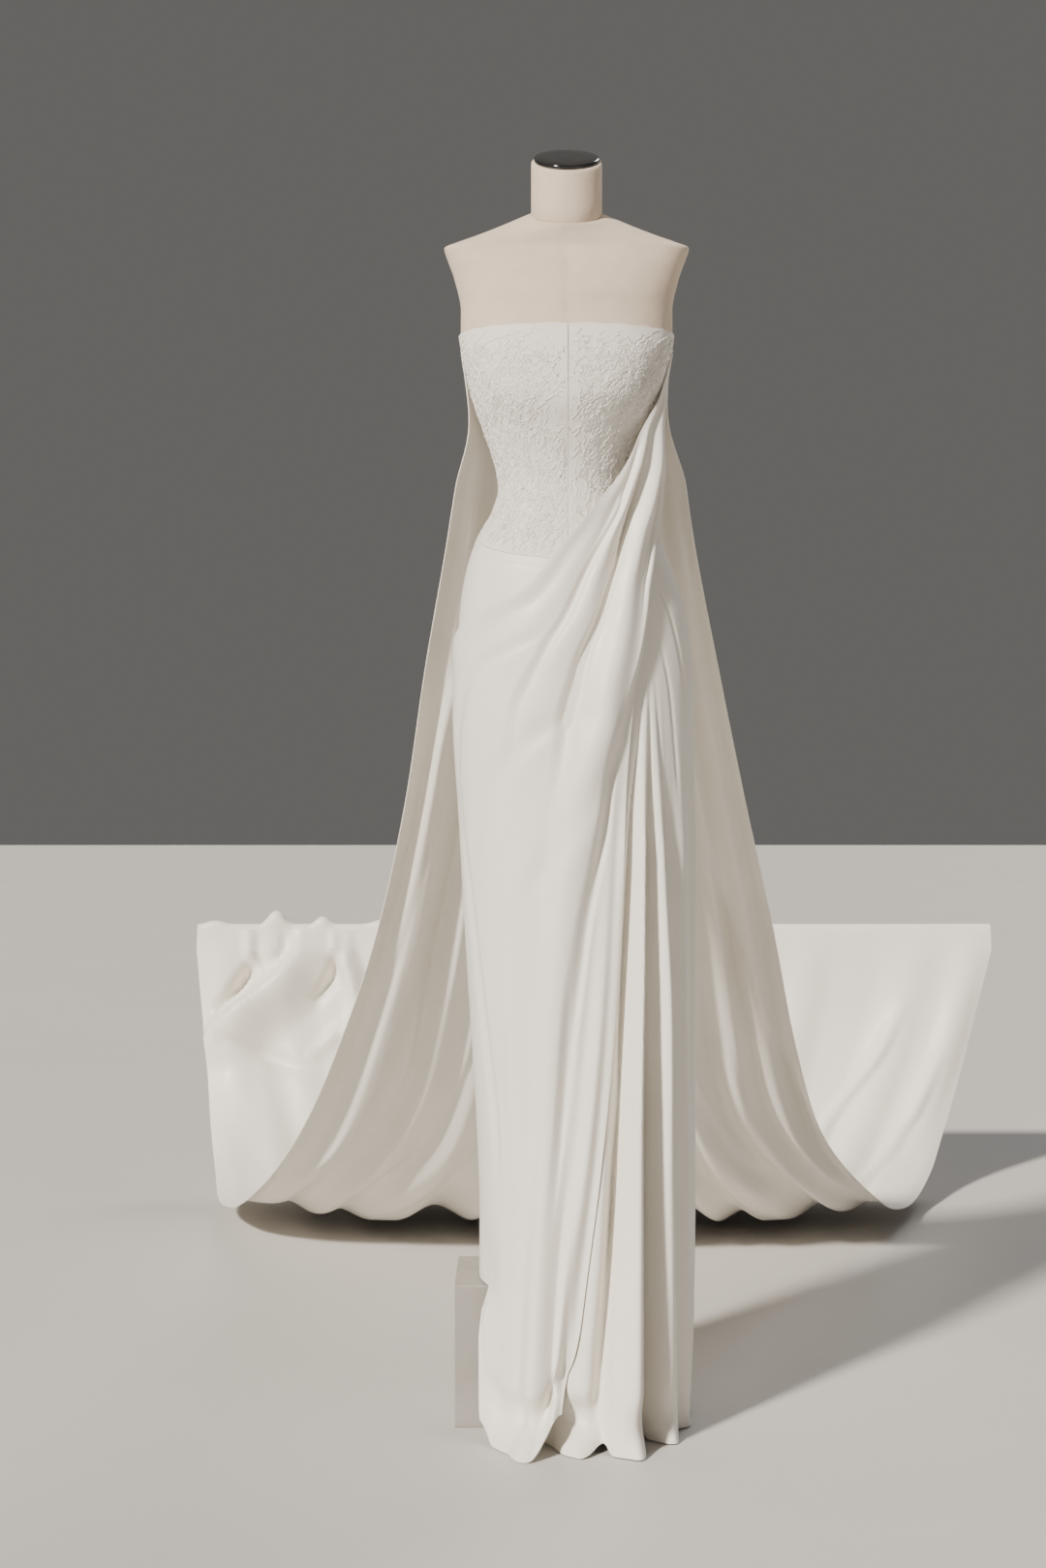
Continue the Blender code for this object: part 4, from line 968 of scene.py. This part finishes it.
# Skirt
def hem_band(height, hem):
    """The little step of a narrow turned hem."""
    return HEM_RISE * (1.0 - ease((height - hem - HEM_BAND) / HEM_STEP))


def skirt_panel(side, angles, rows):
    angle, part = np.meshgrid(angles, rows)
    top = waist_heights(angle) - WAIST_SEAM_GAP / 2.0
    hem = hem_heights(FIGURE, angle, SKIRT_BOX_MARGIN)
    z = above_hem(top * (1.0 - part ** SKIRT_ROW_POWER), hem)
    out = skirt_out(angle, z) + hem_band(z, hem) + line_relief(z, wrapped(angle), SKIRT_LINES)
    on_floor = 1.0 - hem / HEM_OVER_BOX
    for middle, before, after, share in LIP_CONES:
        shape = peaked if middle == LIP_TIP_ANGLE else lopsided
        out += hem_curl(z - hem) * share * shape(wrapped(angle) - middle, before, after) * on_floor
    for middle, before, after, height in LIP_LIFTS:
        lifted = height * lopsided(wrapped(angle) - middle, before, after) * on_floor
        z += lifted * ease(1.0 - (z - hem) / LIFT_HEIGHT)
    out -= 0.0005 * bump(top - SEAM_LINE_DROP - z, 0.0022)
    out += 0.0006 * uneven(angle / 40.0, z * 1.4, 21, 6, 0.5, 1.6) * ease((top - z) / 0.2)
    grid = figure_points(angle, z, out)
    item = cloth_wall("gown_skirt_" + side, grid, SKIRT_WALL, crepe, "skirt_" + side)


def front_drape():
    across = runs_of((0.0, 0.55, 70), (0.555, 1.0, 110))
    drops = runs_of((0.0, 0.47, 90), (0.476, 0.955, 72), (0.958, 1.0, 22))
    grid = drape_points(*np.meshgrid(across, drops))
    item = cloth_wall("gown_front_drape", grid, DRAPE_WALL, crepe, "front_drape")


# Train
def over_rail(front_line):
    """The rows that turn over the rail and hang behind it, from the last row in front of it."""
    x = front_line[:, 0]
    reach = (RAIL_RADIUS + GAP) / math.cos(math.radians(HALF_FACET))
    puff = sum(height * bump(x - middle, width) for middle, width, height in RAIL_PUFFS)
    turn = np.radians(steps(0.0, 180.0, 12))[:, None]
    over = xyz(
        x, RAIL_Y - (reach + puff * np.sin(turn)) * np.cos(turn),
        RAIL_Z + (reach + 2.0 * puff) * np.sin(turn))
    wave = uneven(x * 1.1, 0.0, 31, 6, 0.8, 2.6)
    down = steps(0.0, 1.0, 14)[1:, None]
    tail = xyz(
        x, RAIL_Y + reach + 0.011 * (1.0 + wave) * ease(down),
        RAIL_Z - (TRAIN_TAIL + 0.004 * wave) * down)
    return np.concatenate([over, tail])


def train_panel(side, folds, is_left):
    runs = runs_of((0.0, 0.88, 120), (0.8845, TRAIN[-1]["run"], 42))
    across, run = np.meshgrid(steps(0.0, 1.0, 150), runs)
    grid = train_points(across, run, folds, is_left)
    grid = np.concatenate([grid, over_rail(grid[-1])])
    way = 1.0 if is_left else -1.0
    grid[:, -1, 0] += way * SEAM_GAP
    item = cloth_wall("gown_train_" + side, grid, -way * TRAIN_WALL, crepe, "train_" + side)


# Dress form
def capped_loft(name, rings, finish, node, sharp=50.0):
    """A closed loft through rings of equal count."""
    rings = np.array(rings)
    count, columns = rings.shape[:2]
    last = (count - 1) * columns
    faces = quads_of(count, columns, close=True)[:, ::-1].tolist()
    faces += [list(range(columns))[::-1], list(range(last, last + columns))]
    add_piece(name, rings, faces, finish, node, flat_map(rings), sharp)


def round_loft(name, profile, height, finish, node, sharp=50.0):
    """A loft of round rings: profile is (radius, part of the height), and height gives a ring's z."""
    turn = full_turn(96)
    rings = []
    for radius, part in profile:
        y = -radius * np.cos(turn)
        rings.append(xyz(radius * np.sin(turn), y, height(part, y)))
    capped_loft(name, rings, finish, node, sharp)


def form_torso():
    angles = np.degrees(full_turn(144))
    lower = steps(FORM_BOTTOM_Z, 1.575, 40)
    rings = [figure_points(angles, z + 0.0 * angles, -FORM_CLEAR) for z in lower]
    rings.append(figure_points(angles, NECKLINE_Z + 0.0 * angles, -FORM_CLEAR_TOP))
    neck, shoulder, top = NECK_RADIUS + 0.0005, FORM[SHOULDER_ROW]["z"], FORM[-1]["z"]
    groove = -FORM_SEAM_DEPTH * (bump(wrapped(angles), 1.6) + bump(wrapped(angles - 180.0), 1.6))
    for z in np.concatenate([steps(FORM[0]["z"], shoulder, 20), steps(shoulder, top, 22)[1:]]):
        sizes = read_rows(FORM, z + 0.0 * angles)
        sizes["left"] = sizes["right"] = sizes["half"]
        past_neck = sizes["front"] - neck
        sizes["front"] = neck + 0.5 * (past_neck + np.hypot(past_neck, NECK_SOFTENING))
        x, y = ring_points(sizes, angles, groove)
        risen = ease((z - NECK_SEAM_FROM) / (top - NECK_SEAM_FROM))
        leaning = NECK_SEAM_LIFT + NECK_SEAM_SLANT * y / NECK_RADIUS
        rings.append(xyz(x, y, z + leaning * risen))
    capped_loft("form_linen_torso", rings, linen, "form_torso")


def form_neck():
    bottom = FORM[-1]["z"] + 2.0 * GAP + NECK_SEAM_LIFT
    profile = (
        (-0.0012, 0.0), (0.0, 0.02), (0.0, 0.3), (0.0, 0.7), (0.0, 0.93), (-0.0004, 0.975), (-0.0022, 1.0))

    def height(part, y):
        lean = y / np.abs(y).max()
        return between(bottom + NECK_SEAM_SLANT * lean, NECK_TOP_Z + NECK_SLANT * lean, part)

    profile = [(NECK_RADIUS + out, part) for out, part in profile]
    round_loft("form_linen_neck", profile, height, linen, "form_neck")


def form_cap():
    profile = (
        (0.92, 0.0), (0.99, 0.06), (1.0, 0.25), (1.0, 0.72), (0.985, 0.92), (0.95, 1.0), (0.55, 1.05),
        (0.15, 1.1))

    def height(part, y):
        return NECK_TOP_Z + NECK_SLANT * y / NECK_RADIUS + 1.2 * GAP + CAP_THICKNESS * part

    profile = [((NECK_RADIUS - NECK_RIM) * share, part) for share, part in profile]
    round_loft("form_black_cap", profile, height, lacquer, "form_cap", 60.0)


def train_bar():
    turn = full_turn(40)
    ends = [(0.0, 0.8), (0.0015, 0.97), (0.004, 1.0)]
    sections = [(RAIL_LEFT + off, share) for off, share in ends]
    sections += [(RAIL_RIGHT - off, share) for off, share in reversed(ends)]
    rings = [
        xyz(x, RAIL_Y + RAIL_RADIUS * share * np.cos(turn), RAIL_Z + RAIL_RADIUS * share * np.sin(turn))
        for x, share in sections]
    capped_loft("train_bar", rings, steel, "train_rail")


form_torso()
form_neck()
form_cap()
train_bar()

# Side, its two edges, rows each way, flat size, area, seed, cords, florets
BODICE_PANELS = (
    ("front_right", -SIDE_SEAM, 0.0, 66, (0.232, 0.356), 0.0643, 101, 560, 26),
    ("front_left", 0.0, SIDE_SEAM, 66, (0.232, 0.356), 0.0647, 102, 600, 34),
    ("back_left", SIDE_SEAM, 180.0, 50, (0.213, 0.315), 0.0522, 103, 340, 18),
    ("back_right", 180.0, 360.0 - SIDE_SEAM, 50, (0.213, 0.315), 0.0516, 104, 340, 18),
)
for panel in BODICE_PANELS:
    bodice_panel(*panel[:6])
for side, start, end, *_, seed, cords, florets in BODICE_PANELS:
    lace_work(side, start, end, seed, cords, florets)
bead_work(105, 260)

front_angles = runs_of(
    (-SIDE_SEAM + SEAM_TURN, -20.0, 30), (-18.5, 60.0, 110), (60.8, SIDE_SEAM - SEAM_TURN, 36))
back_angles = runs_of((SIDE_SEAM + SEAM_TURN, 235.0, 90), (237.0, 360.0 - SIDE_SEAM - SEAM_TURN, 20))
front_rows = runs_of((0.0, 0.06, 16), (0.07, 0.95, 84), (0.953, 1.0, 24))
back_rows = runs_of((0.0, 0.06, 10), (0.08, 0.98, 50), (0.985, 1.0, 6))
skirt_panel("front", front_angles, front_rows)
skirt_panel("back", back_angles, back_rows)
front_drape()
train_panel("right", TRAIN_FOLDS_RIGHT, False)
train_panel("left", TRAIN_FOLDS_LEFT, True)

for node in (
        "stand_box", "form_pole", "pole_flange", "rail_post_right", "rail_post_left", "rail_foot_right",
        "rail_foot_left"):
    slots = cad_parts[node].data.materials
    slots.clear()
    slots.append((painted if node == "stand_box" else steel).material)


# Stage
def floor(half):
    mesh = bpy.data.meshes.new("studio_floor")
    corners = [(-half, -half, 0.0), (half, -half, 0.0), (half, half, 0.0), (-half, half, 0.0)]
    mesh.from_pydata(corners, [], [(0, 1, 2, 3)])
    pale = Finish(
        "pale_floor", None, (0.6, 0.58, 0.55), 0.55, 0.3,
        (1.5, 3.0, 0.3, 0.7, (0.61, 0.59, 0.56), (0.585, 0.565, 0.535)))
    mesh.materials.append(pale.material)
    placed("studio_floor", mesh)


def light(name, kind, power, colour, turn, place=(0.0, 0.0, 0.0)):
    data = bpy.data.lights.new(name, kind)
    data.energy = power
    data.color = colour
    placed(name, data, turn, place)
    return data


def studio():
    """The key comes from the wearer's right, and weak lights from the left and from behind."""
    world = bpy.data.worlds.new("studio")
    bpy.context.scene.world = world
    world.use_nodes = True
    back = world.node_tree.nodes["Background"]
    back.inputs["Color"].default_value = (0.62, 0.6, 0.57, 1.0)
    back.inputs["Strength"].default_value = 0.22
    key = light("key", "SUN", 6.2, (1.0, 0.935, 0.85), (54.0, 0.0, -39.0))
    key.angle = math.radians(5.0)
    fill = light("fill", "AREA", 4.0, (1.0, 0.97, 0.93), (80.0, 0.0, 49.0856), (3.0, -2.6, 1.6))
    fill.size = 2.0
    rear = light("rear", "SUN", 0.9, (0.97, 0.97, 1.0), (48.0, 0.0, 150.0))
    rear.angle = math.radians(20.0)


def camera():
    data = bpy.data.cameras.new("camera")
    data.lens = 50.0
    data.sensor_fit = "VERTICAL"
    data.sensor_height = 36.0
    bpy.context.scene.camera = placed("camera", data, (90.0, 0.0, 0.0), (-0.0652, -3.26, 0.934))


floor(30.0)
studio()
camera()
